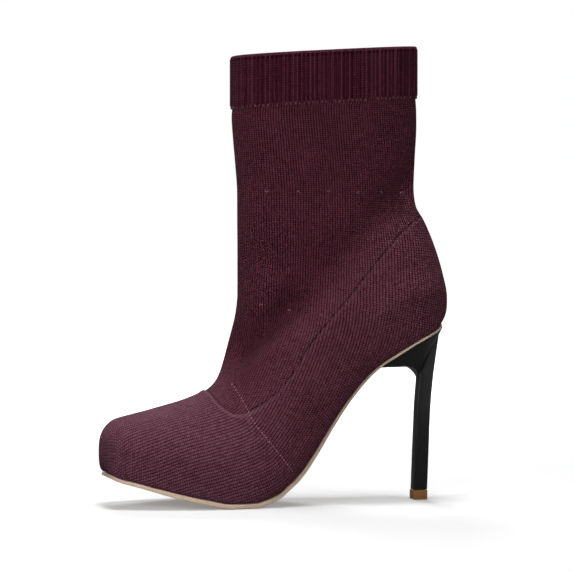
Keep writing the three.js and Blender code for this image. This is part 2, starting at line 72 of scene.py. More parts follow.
# Sections of the last, from the toe to the back of the seat and up to the collar. Each is a ring
# in a plane across the foot, between a point on its top or front and a point under or behind it.
# A row holds front x, front height, under x, under height, outer, inner, widest, flat outer,
# flat inner, upper square and lower square. Both x are shares of the foot's length. The front
# height is a share of the instep's, over the under point, and the under height is a share of the
# toe spring. Half widths and flats are shares of the ball's width, widest is a share of the way
# down, and a square of 2 makes an ellipse.
FOOT_ROWS = (
    (1, 0.051, 1, 1.63, 0.03, 0.03, 0.5, 0.012, 0.012, 2, 2),
    (0.999, 0.166, 0.999, 1.41, 0.1, 0.1, 0.5, 0.037, 0.037, 2.4, 2.4),
    (0.995, 0.251, 0.996, 1.27, 0.165, 0.17, 0.5, 0.085, 0.085, 2.8, 2.8),
    (0.986, 0.335, 0.991, 1.14, 0.22, 0.23, 0.52, 0.146, 0.146, 3, 3),
    (0.974, 0.413, 0.983, 1.01, 0.27, 0.28, 0.55, 0.207, 0.21, 3, 2.6),
    (0.954, 0.485, 0.96, 0.885, 0.31, 0.323, 0.6, 0.268, 0.275, 2.9, 2.4),
    (0.923, 0.542, 0.923, 0.765, 0.354, 0.366, 0.64, 0.311, 0.317, 2.7, 2.3),
    (0.876, 0.631, 0.858, 0.54, 0.41, 0.415, 0.68, 0.366, 0.372, 2.5, 2.2),
    (0.826, 0.724, 0.79, 0.32, 0.463, 0.47, 0.71, 0.421, 0.427, 2.4, 2.2),
    (0.781, 0.808, 0.721, 0.125, 0.494, 0.5, 0.72, 0.451, 0.457, 2.3, 2.2),
    (0.739, 0.882, 0.661, 0, 0.5, 0.49, 0.72, 0.455, 0.445, 2.25, 2.2),
    (0.709, 0.926, 0.593, 0, 0.485, 0.463, 0.71, 0.427, 0.396, 2.2, 2.2),
    (0.701, 0.918, 0.562, 0.1, 0.474, 0.447, 0.705, 0.402, 0.36, 2.2, 2.2),
)
# A row holds front x, front rise, under x, under level and slimmed, and goes on as above. The
# rise is a share of the way from the instep up to the collar. The level is 0 at the tread, 1 at
# the heel's height and 2 at the back of the collar. Slimmed is 0 where half widths are shares of
# the ball's width, and 1 where they are shares of the leg's.
LEG_ROWS = (
    (0.692, 0, 0.528, 0.042, 0, 0.461, 0.43, 0.7, 0.372, 0.323, 2.2, 2.2),
    (0.677, 0.015, 0.497, 0.088, 0, 0.443, 0.41, 0.69, 0.341, 0.284, 2.2, 2.2),
    (0.663, 0.04, 0.467, 0.137, 0, 0.427, 0.395, 0.67, 0.311, 0.25, 2.2, 2.2),
    (0.651, 0.079, 0.412, 0.28, 0.05, 0.416, 0.388, 0.62, 0.266, 0.205, 2.2, 2.2),
    (0.639, 0.126, 0.356, 0.452, 0.1, 0.41, 0.389, 0.57, 0.232, 0.18, 2.2, 2.2),
    (0.628, 0.17, 0.3, 0.611, 0.15, 0.41, 0.393, 0.54, 0.222, 0.18, 2.2, 2.2),
    (0.618, 0.213, 0.231, 0.765, 0.2, 0.411, 0.398, 0.53, 0.241, 0.22, 2.2, 2.1),
    (0.613, 0.25, 0.153, 0.872, 0.25, 0.413, 0.405, 0.53, 0.272, 0.263, 2.2, 2.1),
    (0.611, 0.279, 0.089, 0.947, 0.3, 0.421, 0.413, 0.54, 0.259, 0.256, 2.2, 2.1),
    (0.611, 0.299, 0.058, 0.977, 0.32, 0.423, 0.415, 0.55, 0.217, 0.217, 2.25, 2.1),
    (0.611, 0.314, 0.035, 1, 0.34, 0.425, 0.418, 0.555, 0.149, 0.149, 2.25, 2.1),
    (0.611, 0.326, 0.021, 1.009, 0.36, 0.427, 0.42, 0.56, 0.061, 0.061, 2.25, 2.1),
    (0.611, 0.341, 0.009, 1.029, 0.4, 0.431, 0.426, 0.57, 0.015, 0.015, 2.3, 2.1),
    (0.611, 0.363, 0.001, 1.063, 0.45, 0.435, 0.432, 0.575, 0.015, 0.015, 2.3, 2.1),
    (0.611, 0.393, 0.001, 1.109, 0.5, 0.438, 0.438, 0.57, 0.015, 0.015, 2.3, 2.15),
    (0.611, 0.428, 0.012, 1.178, 0.6, 0.448, 0.448, 0.56, 0.015, 0.015, 2.3, 2.2),
    (0.611, 0.467, 0.034, 1.27, 0.7, 0.453, 0.453, 0.54, 0.015, 0.015, 2.35, 2.3),
    (0.611, 0.507, 0.067, 1.371, 0.8, 0.458, 0.458, 0.52, 0.015, 0.015, 2.4, 2.35),
    (0.611, 0.546, 0.093, 1.434, 0.9, 0.468, 0.468, 0.5, 0.015, 0.015, 2.4, 2.4),
    (0.611, 0.591, 0.099, 1.494, 1, 0.485, 0.485, 0.5, 0.015, 0.015, 2.45, 2.45),
    (0.616, 0.67, 0.096, 1.598, 1, 0.485, 0.485, 0.5, 0.015, 0.015, 2.5, 2.5),
    (0.624, 0.769, 0.091, 1.718, 1, 0.49, 0.49, 0.5, 0.015, 0.015, 2.5, 2.5),
    (0.627, 0.825, 0.092, 1.79, 1, 0.5, 0.5, 0.5, 0.015, 0.015, 2.5, 2.5),
    (0.624, 0.844, 0.095, 1.819, 1, 0.5, 0.5, 0.5, 0.015, 0.015, 2.5, 2.5),
    (0.624, 1, 0.095, 2, 1, 0.5, 0.5, 0.5, 0.015, 0.015, 2.5, 2.5),
)
# Rows with no place on the underside: those on the toe's face, and those up the leg's back
TOE_FACE_COUNT = 4
LEG_BACK_COUNT = 13

# The seam between leg and foot, seen from the side, from the back of the heel to the instep
SEAM_LINE = (
    (-51, 194), (-11.4, 184), (3.5, 175.9), (16.6, 166.7), (26, 157.4), (41.3, 140.4), (53.3, 126),
    (64.4, 113.5), (79.5, 95.2), (86.9, 83.2), (99.5, 69.1), (106.8, 63.4), (113.2, 59.6),
    (118.7, 57.3), (123.6, 56.9), (128.6, 59.3), (132.8, 63.6), (135.1, 67.9), (137, 72.2),
    (143.1, 86.1),
)
# The line where the vamp's rows turn into the quarter's
GORE_LINE = (
    (125.6, 79.5), (123.1, 74.2), (116.6, 60.5), (113.9, 53.6), (107.7, 44.7), (99.4, 34.5),
    (92.1, 25.6), (87.7, 20.5),
)
# The stem's height as a share of the heel's, and its back and front as shares of the lift's length
STEM_ROWS = (
    (0.058, -0.49, 0.45), (0.37, -0.62, 0.33), (0.56, -0.73, 0.225), (0.7, -0.88, 0.095),
    (0.78, -1.0, 0.0), (0.86, -1.13, -0.08), (0.94, -1.26, -0.14), (1.05, -1.42, -0.2),
)


def smooth_between(knots: np.ndarray, values: np.ndarray, at: np.ndarray) -> np.ndarray:
    """Curves through table rows that never swing past them.

    Args:
        knots: the rows' places, rising.
        values: one line of numbers for each knot.
        at: the places to read.

    Returns:
        One line of numbers for each place.
    """
    step = np.diff(knots)[:, None]
    slope = np.diff(values, axis=0) / step
    before, after = slope[:-1], slope[1:]
    same_way = before * after > 0
    meeting = np.where(same_way, before + after, 1.0)
    inner = np.where(same_way, 2 * before * after / meeting, 0.0)
    tangent = np.vstack([slope[:1], inner, slope[-1:]])
    i = np.clip(np.searchsorted(knots, at, side="right") - 1, 0, len(knots) - 2)
    t = ((at - knots[i]) / step[i, 0])[:, None]
    span = step[i]
    return (
        (2 * t**3 - 3 * t**2 + 1) * values[i]
        + (t**3 - 2 * t**2 + t) * span * tangent[i]
        + (3 * t**2 - 2 * t**3) * values[i + 1]
        + (t**3 - t**2) * span * tangent[i + 1]
    )


def rising(low: float, high: float, value: np.ndarray) -> np.ndarray:
    """A smooth step from 0 at low to 1 at high."""
    t = np.clip((value - low) / (high - low), 0, 1)
    return t * t * (3 - 2 * t)


def bell(offset: np.ndarray, width: float | np.ndarray) -> np.ndarray:
    """A soft bump, 1 in its middle and near 0 two widths away."""
    return np.exp(-((offset / width) ** 2))


def lengths_along(points: np.ndarray) -> np.ndarray:
    """Distance from the first point along a line of points, at each of them."""
    steps = np.linalg.norm(np.diff(points, axis=0), axis=1)
    return np.concatenate([[0.0], np.cumsum(steps)])


def fine_line(points: tuple, count: int) -> np.ndarray:
    """A smooth line of evenly spaced points through a few given ones."""
    rough = np.array(points, float)
    knots = lengths_along(rough)
    return smooth_between(knots, rough, np.linspace(0, knots[-1], count))


def from_line(places: np.ndarray, line: np.ndarray) -> tuple[np.ndarray, np.ndarray]:
    """Where places in the side view lie beside a line.

    Args:
        places: x and z of each place.
        line: x and z of the line's points.

    Returns:
        The signed distance from the line, positive on its left, and the share along it.
    """
    ends = line[1:] - line[:-1]
    squares = (ends**2).sum(1)
    nearest = np.full(len(places), np.inf)
    signed = np.zeros(len(places))
    share = np.zeros(len(places))
    for k, (start, way, square) in enumerate(zip(line[:-1], ends, squares)):
        offset = places - start
        t = np.clip(offset @ way / square, 0, 1)
        gap = offset - t[:, None] * way
        distance = np.hypot(gap[:, 0], gap[:, 1])
        closer = distance < nearest
        side = np.sign(way[0] * offset[:, 1] - way[1] * offset[:, 0])
        nearest = np.where(closer, distance, nearest)
        signed = np.where(closer, side * distance, signed)
        share = np.where(closer, (k + t) / len(ends), share)
    return signed, share


class Side(Enum):
    """Which side of the boot a form lies on, and the way it faces along X and Y."""

    OUTER = (0.23, 0.97)
    INNER = (0.0, -1.0)


@dataclass(frozen=True)
class Fold:
    """A soft trough or ridge in the knit, drawn in the side view from the back to the front.

    It has a width above its line and one below. It fades at its ends, and where the surface
    turns away from its side of the boot.
    """

    line: tuple[tuple[float, float], ...]
    above: float
    below: float
    height: float
    side: Side = Side.OUTER
    fade: float = 0.3
    fully_faced: float = 0.65
    steps: int = 24

    def lift(self, places: np.ndarray, normals: np.ndarray) -> np.ndarray:
        """How far the fold moves the surface out at each place.

        Args:
            places: points of the surface, in millimetres.
            normals: their outward directions.

        Returns:
            The outward move of each point, in millimetres.
        """
        distance, share = from_line(places[:, SIDE_VIEW], fine_line(self.line, self.steps))
        across = bell(distance, np.where(distance > 0, self.above, self.below))
        ends = rising(0, self.fade, share) * rising(0, self.fade, 1 - share)
        faced = rising(0, self.fully_faced, normals[:, :2] @ np.array(self.side.value))
        return self.height * across * ends * faced


# The folds at the ankle and the quarter, the long diagonal one first
FOLDS = (
    Fold(
        (
            (-24, 207), (-8, 200), (8, 191.5), (18, 186), (29, 175.5), (42, 162), (55, 150),
            (67.5, 137.5), (80, 125), (92, 113), (104, 102.5), (115, 94.5), (126, 88), (136, 83),
        ),
        12, 18, -4, fade=0.08,
    ),
    Fold(((76, 134), (92, 121), (104, 111), (116, 102), (128, 95), (138, 90)), 8, 9.5, -8.6, fade=0.16),
    Fold(((72, 115), (92, 98), (112, 84), (129, 73)), 8, 9, 2.2),
    Fold(((-24, 210), (-4, 200), (10, 193), (22, 185), (40, 168)), 13, 11, -3.4),
    Fold(((-14, 127), (2, 130), (16, 127), (32, 117), (48, 105)), 10, 8, 2.8),
    Fold(((62, 163), (78, 153), (92, 148), (106, 148), (121, 153)), 10, 9, -2.5),
    Fold(((56, 66), (68, 54), (82, 42), (92, 30)), 9, 9, -1.4),
    Fold(((56, 214), (82, 204), (112, 200)), 10, 10, 1.4),
    Fold(
        ((-8, 198), (18, 184), (42, 161), (68, 136), (94, 110), (120, 84)),
        12, 16, -2.8, Side.INNER,
    ),
    Fold(((44, 196), (66, 180), (90, 168), (114, 162)), 9, 9, -1.4, Side.INNER),
)


@dataclass
class Last:
    """The form that the knit is stretched over, with the driving sizes of the whole boot."""

    foot_length: float = 218.5
    back_overhang: float = 17.5
    heel_height: float = 108
    instep_height: float = 71.5
    collar_height: float = 278.2
    collar_rise: float = 7
    toe_spring: float = 17
    ball_width: float = 82
    leg_width: float = 54
    tread: float = 3.1
    arc_steps: int = 70
    flat_steps: int = 8
    knots: np.ndarray = field(init=False)
    rows: np.ndarray = field(init=False)

    def __post_init__(self) -> None:
        """Turns the tables' shares into lengths."""
        rows = [self._foot_row(row) for row in FOOT_ROWS] + [self._leg_row(row) for row in LEG_ROWS]
        self.rows = np.array(rows, float)
        front = lengths_along(self.rows[:, FRONT])
        under = lengths_along(self.rows[:, UNDER])
        self.knots = (front + under) / 2

    def _along(self, share: float) -> float:
        """A place along the foot from its share of the length."""
        return share * self.foot_length - self.back_overhang

    def _foot_row(self, row: tuple) -> list[float]:
        """One foot section in real lengths."""
        front_x, rise, under_x, lift, *form = row
        under = self.tread + lift * self.toe_spring
        front = (self._along(front_x), under + rise * self.instep_height)
        return self._section(front, (self._along(under_x), under), self.ball_width, form, 0)

    def _leg_row(self, row: tuple) -> list[float]:
        """One leg section in real lengths."""
        front_x, rise, under_x, level, slimmed, *form = row
        top = self.collar_height - self.collar_rise / 2
        back_top = self.collar_height + self.collar_rise / 2
        if level <= 1:
            under = self.tread + level * (self.heel_height - self.tread)
        else:
            under = self.heel_height + (level - 1) * (back_top - self.heel_height)
        front = (self._along(front_x), self.instep_height + rise * (top - self.instep_height))
        across = self.ball_width + (self.leg_width - self.ball_width) * slimmed
        return self._section(front, (self._along(under_x), under), across, form, min(1, level))

    def _section(
        self, front: tuple[float, float], under: tuple[float, float], across: float,
        form: list[float], level: float,
    ) -> list[float]:
        """One section's line of numbers, in the order of the named columns.

        Args:
            front: the place on its top or front.
            under: the place under or behind it.
            across: the width that its half widths are shares of.
            form: the rest of its table row.
            level: how far it is up to the seat, from 0 to 1.

        Returns:
            The line of numbers.
        """
        outer, inner, widest, flat_outer, flat_inner, *squares = form
        flats = [flat_outer * self.ball_width, flat_inner * self.ball_width]
        return [*front, *under, outer * across, inner * across, widest, *flats, *squares, level]

    @property
    def length(self) -> float:
        """Travel from the toe to the collar."""
        return float(self.knots[-1])

    def rings(self, travels: np.ndarray, count: int) -> tuple[np.ndarray, np.ndarray]:
        """Closed rings of evenly spaced points, down the outer side and up the inner one.

        Args:
            travels: the rings' places from the toe.
            count: points on each side.

        Returns:
            The points, and the distance of each round its ring from the front line, with the
            first point repeated at the end.
        """
        rows = smooth_between(self.knots, self.rows, travels)
        points = np.zeros((len(rows), 2 * count, 3))
        girth = np.zeros((len(rows), 2 * count + 1))
        for k, row in enumerate(rows):
            outer, outer_way = self._half_ring(row, row[OUTER], row[FLAT_OUTER], count)
            inner, inner_way = self._half_ring(row, row[INNER], row[FLAT_INNER], count)
            inner[:, 1] *= -1
            points[k, : count + 1] = outer
            points[k, count + 1 :] = inner[-2:0:-1]
            girth[k, : count + 1] = outer_way
            girth[k, count:] = outer_way[-1] + (inner_way[-1] - inner_way[::-1])
        return points, girth

    def _half_ring(
        self, row: np.ndarray, half: float, flat: float, count: int
    ) -> tuple[np.ndarray, np.ndarray]:
        """One side of a ring, from its top to the middle of its underside.

        Args:
            row: the section.
            half: its half width on this side.
            flat: half of its flat underside.
            count: steps to lay out.

        Returns:
            The points, and each point's distance from the first.
        """
        angle = np.linspace(0, math.pi / 2, self.arc_steps)
        widest, upper, lower = row[WIDEST], 2 / row[UPPER_SQUARE], 2 / row[LOWER_SQUARE]
        sine = np.sin(angle)
        cosine = np.cos(angle).clip(0)
        level = np.ones(self.flat_steps)
        inward = np.linspace(flat, 0, self.flat_steps)
        down = np.concatenate([widest * (1 - cosine**upper), widest + (1 - widest) * sine**lower, level])
        out = np.concatenate([half * sine**upper, flat + (half - flat) * cosine**lower, inward])
        front, under = row[FRONT], row[UNDER]
        side = front + (under - front) * down[:, None]
        line = np.stack([side[:, 0], out, side[:, 1]], axis=1)
        way = lengths_along(line)
        keep = np.concatenate([[True], np.diff(way) > 1e-9])
        even = np.linspace(0, way[-1], count + 1)
        laid = np.stack([np.interp(even, way[keep], line[keep, i]) for i in range(3)], axis=1)
        return laid, even

    def under_line(self, travels: np.ndarray) -> tuple[np.ndarray, np.ndarray, np.ndarray]:
        """Stations along the foot's underside, from the toe to the back of the seat.

        Args:
            travels: distances from the toe along the under line, also a little past its ends.

        Returns:
            Each station's x and z, its direction up into the boot, and its flat half widths with
            how far it is up to the seat.
        """
        rows = self._under_rows()
        knots = lengths_along(rows[:, UNDER])
        inside = np.clip(travels, 0, knots[-1])
        table = smooth_between(knots, rows, inside)
        near = 0.5
        ahead = (
            smooth_between(knots, rows[:, UNDER], np.clip(inside + near, 0, knots[-1]))
            - smooth_between(knots, rows[:, UNDER], np.clip(inside - near, 0, knots[-1]))
        )
        ahead /= np.linalg.norm(ahead, axis=1)[:, None]
        places = table[:, UNDER] + ahead * (travels - inside)[:, None]
        up = np.stack([ahead[:, 1], -ahead[:, 0]], axis=1)
        return places, up, table[:, [FLAT_OUTER, FLAT_INNER, LEVEL]]

    def _under_rows(self) -> np.ndarray:
        """The sections that have a place on the underside, from the toe to the seat."""
        return self.rows[TOE_FACE_COUNT : len(self.rows) - LEG_BACK_COUNT]

    @property
    def under_length(self) -> float:
        """Length of the underside from the toe to the back of the seat."""
        return float(lengths_along(self._under_rows()[:, UNDER])[-1])


def outward(points: np.ndarray) -> np.ndarray:
    """The outward direction at each point of a stack of closed rings."""
    along = np.gradient(points, axis=0)
    around = np.roll(points, -1, axis=1) - np.roll(points, 1, axis=1)
    normals = np.cross(around, along)
    normals /= np.linalg.norm(normals, axis=2, keepdims=True).clip(1e-9)
    middle = points.mean(axis=1, keepdims=True)
    if ((points - middle) * normals).sum() < 0:
        normals = -normals
    return normals


class NodeGraph:
    """A material's nodes, with short ways to add the ones used here."""

    def __init__(self, name: str) -> None:
        """Starts an empty material."""
        self.material = bpy.data.materials.new(name)
        self.material.use_nodes = True
        self.tree = self.material.node_tree
        self.tree.nodes.clear()

    def add(self, kind: str, **settings: object) -> bpy.types.Node:
        """Adds a node and sets its own settings."""
        node = self.tree.nodes.new(kind)
        for name, value in settings.items():
            setattr(node, name, value)
        return node

    def put(self, socket: Socket, value: object) -> None:
        """Links a socket to another one, or gives it a plain value."""
        if isinstance(value, Socket):
            self.tree.links.new(value, socket)
        elif isinstance(value, tuple) and len(value) == 3 and socket.type == "RGBA":
            socket.default_value = (*value, 1.0)
        else:
            socket.default_value = value

    def math(self, operation: str, *values: object) -> Socket:
        """A sum of numbers or sockets."""
        node = self.add("ShaderNodeMath", operation=operation)
        for socket, value in zip(node.inputs, values):
            self.put(socket, value)
        return node.outputs[0]

    def away(self, value: object, middle: float) -> Socket:
        """How far a value is from a middle one."""
        return self.math("ABSOLUTE", self.math("SUBTRACT", value, middle))

    def arch(self, share: object) -> Socket:
        """An arch over a share: 0 at both its ends and 1 in the middle."""
        return self.math("SINE", self.math("MULTIPLY", share, math.pi))

    def spread(
        self, value: object, low: float, high: float, to_low: float = 0.0, to_high: float = 1.0
    ) -> Socket:
        """A smooth step of a value between two limits."""
        node = self.add("ShaderNodeMapRange", interpolation_type="SMOOTHSTEP")
        for socket, number in zip(node.inputs, (value, low, high, to_low, to_high)):
            self.put(socket, number)
        return node.outputs["Result"]

    def mix(self, share: object, first: object, second: object) -> Socket:
        """A mix of two colours."""
        node = self.add("ShaderNodeMix", data_type="RGBA", blend_type="MIX")
        self.put(node.inputs[0], share)
        self.put(node.inputs[6], first)
        self.put(node.inputs[7], second)
        return node.outputs[2]

    def noise(self, place: object, scale: float, detail: float = 2.0) -> Socket:
        """Cloudy noise, from 0 to 1."""
        node = self.add("ShaderNodeTexNoise")
        self.put(node.inputs["Vector"], place)
        node.inputs["Scale"].default_value = scale
        node.inputs["Detail"].default_value = detail
        return node.outputs["Fac"]

    def chance(self, dimensions: str, socket: str, value: object) -> Socket:
        """A number from 0 to 1 by chance, the same wherever the value is the same."""
        node = self.add("ShaderNodeTexWhiteNoise", noise_dimensions=dimensions)
        self.put(node.inputs[socket], value)
        return node.outputs["Value"]

    def place(self) -> Socket:
        """The surface's place in the boot's own frame."""
        return self.add("ShaderNodeTexCoord").outputs["Object"]

    def parts(self, place: object) -> list[Socket]:
        """The three numbers of a place."""
        node = self.add("ShaderNodeSeparateXYZ")
        self.put(node.inputs[0], place)
        return list(node.outputs)

    def attribute(self, name: str) -> Socket:
        """A number kept on the mesh."""
        return self.add("ShaderNodeAttribute", attribute_name=name).outputs["Fac"]

    def finish(
        self, colour: object, roughness: object, height: object = None, depth: float = 0.0,
        **fixed: object,
    ) -> bpy.types.Material:
        """Closes the material with its shader.

        Args:
            colour: the base colour.
            roughness: the surface's roughness.
            height: a relief from 0 to 1, or None.
            depth: the relief's depth in millimetres.
            fixed: plain numbers and colours for the shader's other sockets.

        Returns:
            The finished material.
        """
        shader = self.add("ShaderNodeBsdfPrincipled")
        self.put(shader.inputs["Base Color"], colour)
        self.put(shader.inputs["Roughness"], roughness)
        for name, value in fixed.items():
            self.put(shader.inputs[name.replace("_", " ").title().replace("Ior", "IOR")], value)
        if height is not None:
            bump = self.add("ShaderNodeBump")
            bump.inputs["Distance"].default_value = depth * MM
            bump.inputs["Strength"].default_value = 1.0
            self.put(bump.inputs["Height"], height)
            self.put(shader.inputs["Normal"], bump.outputs[0])
        output = self.add("ShaderNodeOutputMaterial")
        self.tree.links.new(shader.outputs[0], output.inputs["Surface"])
        return self.material


def linear(*screen: int) -> Colour:
    """A screen colour's red, green and blue as light."""
    return tuple(((c / 255 + 0.055) / 1.055) ** 2.4 if c > 10 else c / 3294.6 for c in screen)


def dimmed(share: float, colour: Colour) -> Colour:
    """A colour with a share of its light."""
    return tuple(share * c for c in colour)


class Relief(Enum):
    """What a knit's own mesh tells its finish."""

    SEAM = "seam"
    RIBS = "ribs"


@dataclass(frozen=True)
class Yarn:
    """A yarn's colours: light on its loops, and dark between them, which is partly painted shade in the
    hollows between the loops.
    """

    light: Colour
    dark: Colour


@dataclass(frozen=True)
class KnitFinish:
    """Knitted yarn, drawn loop by loop on the piece's own map of wales and courses.

    The map is in millimetres: across the wales, and up them. The knit of the leg is finer than
    that of the foot, by leg_share.
    """

    name: str
    relief: Relief
    wale: float
    course: float
    leg: Yarn
    # The foot's and the vamp's yarns are paler: painted light, for the brighter light low on the boot and
    # the top light's sheen on the vamp.
    foot: Yarn | None = None
    vamp: Yarn | None = None
    leg_share: float = 0.84
    slant: float = 1.3
    depth: float = 0.5
    sheen: float = 0.06
    groove_depth: float = 0.8
    rim_height: float = 28.6

    def material(self) -> bpy.types.Material:
        """The finish as a material."""
        graph = NodeGraph(self.name)
        across, up, _ = graph.parts(graph.add("ShaderNodeUVMap", uv_map=KNIT_MAP).outputs[0])
        fuzz = graph.noise(graph.place(), 1400.0, 3.0)
        wale, course, height = self._loops(graph, across, up)
        tone = self._tone(graph, wale, course, height, fuzz)
        relief = graph.math("MULTIPLY_ADD", fuzz, 0.25, height)
        if self.relief is Relief.SEAM:
            colour, groove = self._seamed(graph, tone, fuzz)
            relief = graph.math("MULTIPLY_ADD", groove, -self.groove_depth, relief)
        else:
            colour = self._ribbed(graph, tone, up)
        return graph.finish(
            colour, 0.86, relief, self.depth, specular_ior_level=0.05,
            sheen_weight=self.sheen, sheen_roughness=0.45, sheen_tint=(0.9, 0.5, 0.62),
        )

    def _loops(self, graph: NodeGraph, across: Socket, up: Socket) -> tuple[Socket, Socket, Socket]:
        """Draws the loops, each half of a wale slanted against the other.

        Args:
            graph: the material's nodes.
            across: the place across the wales.
            up: the place up the wales.

        Returns:
            The places in wales and in slanted courses, and the loops' height from 0 to 1.
        """
        across = graph.math("MULTIPLY_ADD", graph.noise(graph.place(), 90.0), 0.5, across)
        across = graph.math("MULTIPLY_ADD", graph.noise(graph.place(), 520.0), 0.9, across)
        along = graph.math("MULTIPLY_ADD", graph.noise(graph.place(), 610.0), 1.1, up)
        sizes = [self.wale, self.course]
        if self.relief is Relief.SEAM:
            on_foot = graph.math("GREATER_THAN", graph.attribute(SEAM_DISTANCE), 0.0)
            more = 1 - self.leg_share
            sizes = [graph.math("MULTIPLY_ADD", on_foot, more * s, self.leg_share * s) for s in sizes]
        wale = graph.math("DIVIDE", across, sizes[0])
        in_wale = graph.math("FRACT", wale)
        from_middle = graph.away(in_wale, 0.5)
        course = graph.math("DIVIDE", along, sizes[1])
        course = graph.math("MULTIPLY_ADD", from_middle, self.slant, course)
        column = graph.math("POWER", graph.arch(in_wale), 0.6)
        heart = graph.spread(from_middle, 0.0, 0.16, 0.72, 1.0)
        loop = graph.arch(graph.math("FRACT", course))
        loop = graph.math("MULTIPLY_ADD", loop, 0.76, 0.24)
        return wale, course, graph.math("MULTIPLY", graph.math("MULTIPLY", column, heart), loop)

    def _tone(
        self, graph: NodeGraph, wale: Socket, course: Socket, height: Socket, fuzz: Socket
    ) -> Socket:
        """How light the yarn is: by its height, as painted shade between the loops, loop by loop, fuzzy
        and in soft clouds.

        Args:
            graph: the material's nodes.
            wale: the place in wales.
            course: the place in slanted courses.
            height: the loops' height.
            fuzz: the yarn's fine noise.

        Returns:
            The tone, from 0 for the dark colour to 1 for the light one.
        """
        cell = graph.add("ShaderNodeCombineXYZ")
        graph.put(cell.inputs[0], graph.math("FLOOR", wale))
        graph.put(cell.inputs[1], graph.math("FLOOR", course))
        speck = graph.chance("2D", "Vector", cell.outputs[0])
        cloud = graph.noise(graph.place(), 28.0, 3.0)
        # Painted shade: the yarn is darker where its loops are low, in the hollows between them.
        tone = graph.math("MULTIPLY", height, graph.math("MULTIPLY_ADD", speck, 0.3, 0.83))
        tone = graph.math("MULTIPLY_ADD", fuzz, 0.35, graph.math("SUBTRACT", tone, 0.17))
        tone = graph.math("MULTIPLY_ADD", cloud, 0.16, graph.math("SUBTRACT", tone, 0.08))
        if self.relief is Relief.RIBS:
            streak = graph.chance("1D", "W", graph.math("FLOOR", wale))
            tone = graph.math("MULTIPLY", tone, graph.math("MULTIPLY_ADD", streak, 0.8, 0.7))
        return graph.spread(tone, 0.19, 0.94)

    def _seamed(self, graph: NodeGraph, tone: Socket, fuzz: Socket) -> tuple[Socket, Socket]:
        """Colours leg, foot and vamp, and draws the groove and the rim of their seam.
        The foot and vamp are painted paler as painted light, the groove holds painted shade and the rim a
        painted highlight.

        Args:
            graph: the material's nodes.
            tone: the yarn's tone.
            fuzz: the yarn's fine noise.

        Returns:
            The colour, and the groove's share of its full depth.
        """
        beside = graph.attribute(SEAM_DISTANCE)
        forward = graph.parts(graph.place())[0]
        # Painted light: the knit is painted paler from the leg onto the foot, for the brighter light on
        # the lower boot.
        on_foot = graph.spread(beside, -26, -6)
        # Painted sheen: the vamp is painted paler and greyer still, for the top light's sheen on it.
        painted_vamp_sheen = graph.spread(forward, 0.08, 0.13)
        painted_vamp_sheen = graph.math("MULTIPLY", painted_vamp_sheen, graph.spread(beside, -1.0, 1.0))
        dark = graph.mix(painted_vamp_sheen, self.foot.dark, self.vamp.dark)
        light = graph.mix(painted_vamp_sheen, self.foot.light, self.vamp.light)
        dark = graph.mix(on_foot, self.leg.dark, dark)
        light = graph.mix(on_foot, self.leg.light, light)
        colour = graph.mix(tone, dark, light)

        # Painted highlight: a light band on the vamp's side of the seam, where its rim catches the light.
        painted_rim_highlight = graph.spread(graph.away(beside, 1.5), 0.4, 1.3, 0.4, 0.0)
        painted_rim_highlight = graph.math("MULTIPLY", painted_rim_highlight, graph.spread(forward, 0.095, 0.126, 0.25, 1.0))
        colour = graph.mix(painted_rim_highlight, colour, dimmed(1.15, self.vamp.light))

        # Painted shade: a dark, broken line darkens the knit where shade falls in the seam's groove; the
        # same share also sinks the relief.
        wavy = graph.math("MULTIPLY_ADD", fuzz, 0.5, graph.away(beside, -0.35))
        dashes = graph.spread(graph.noise(graph.place(), 420.0, 1.0), 0.38, 0.58, 0.2, 1.0)
        groove = graph.math("MULTIPLY", graph.spread(wavy, 0.25, 0.95, 0.95, 0.0), dashes)
        return graph.mix(groove, colour, dimmed(0.6, self.leg.dark)), groove

    def _ribbed(self, graph: NodeGraph, tone: Socket, up: Socket) -> Socket:
        """Colours the cuff, with painted shade in its valleys, a painted highlight on its rolled rim and
        dark dashes of painted shadow under it.

        Args:
            graph: the material's nodes.
            tone: the yarn's tone.
            up: the height on the cuff.

        Returns:
            The colour.
        """
        rib = graph.attribute(RIB_HEIGHT)
        colour = graph.mix(tone, self.leg.dark, self.leg.light)
        # Painted shade: the knit is darker in the valleys between the ribs.
        valley = graph.spread(rib, 0.0, 0.75, 0.72, 0.0)
        colour = graph.mix(valley, colour, dimmed(0.6, self.leg.dark))
        # Painted highlight: the rolled rim is painted lighter where it turns up to the light.
        rim = graph.spread(up, self.rim_height + 0.3, self.rim_height + 1.6, 0.0, 0.3)
        colour = graph.mix(rim, colour, self.leg.light)
        # Painted shadow: dark dashes in the valleys just under the rolled rim, where it overhangs.
        painted_shadow_dash = graph.spread(graph.away(up, self.rim_height), 0.3, 1.0, 0.9, 0.0)
        painted_shadow_dash = graph.math("MULTIPLY", painted_shadow_dash, graph.spread(rib, 0.1, 0.95, 1.0, 0.0))
        return graph.mix(painted_shadow_dash, colour, dimmed(0.3, self.leg.dark))


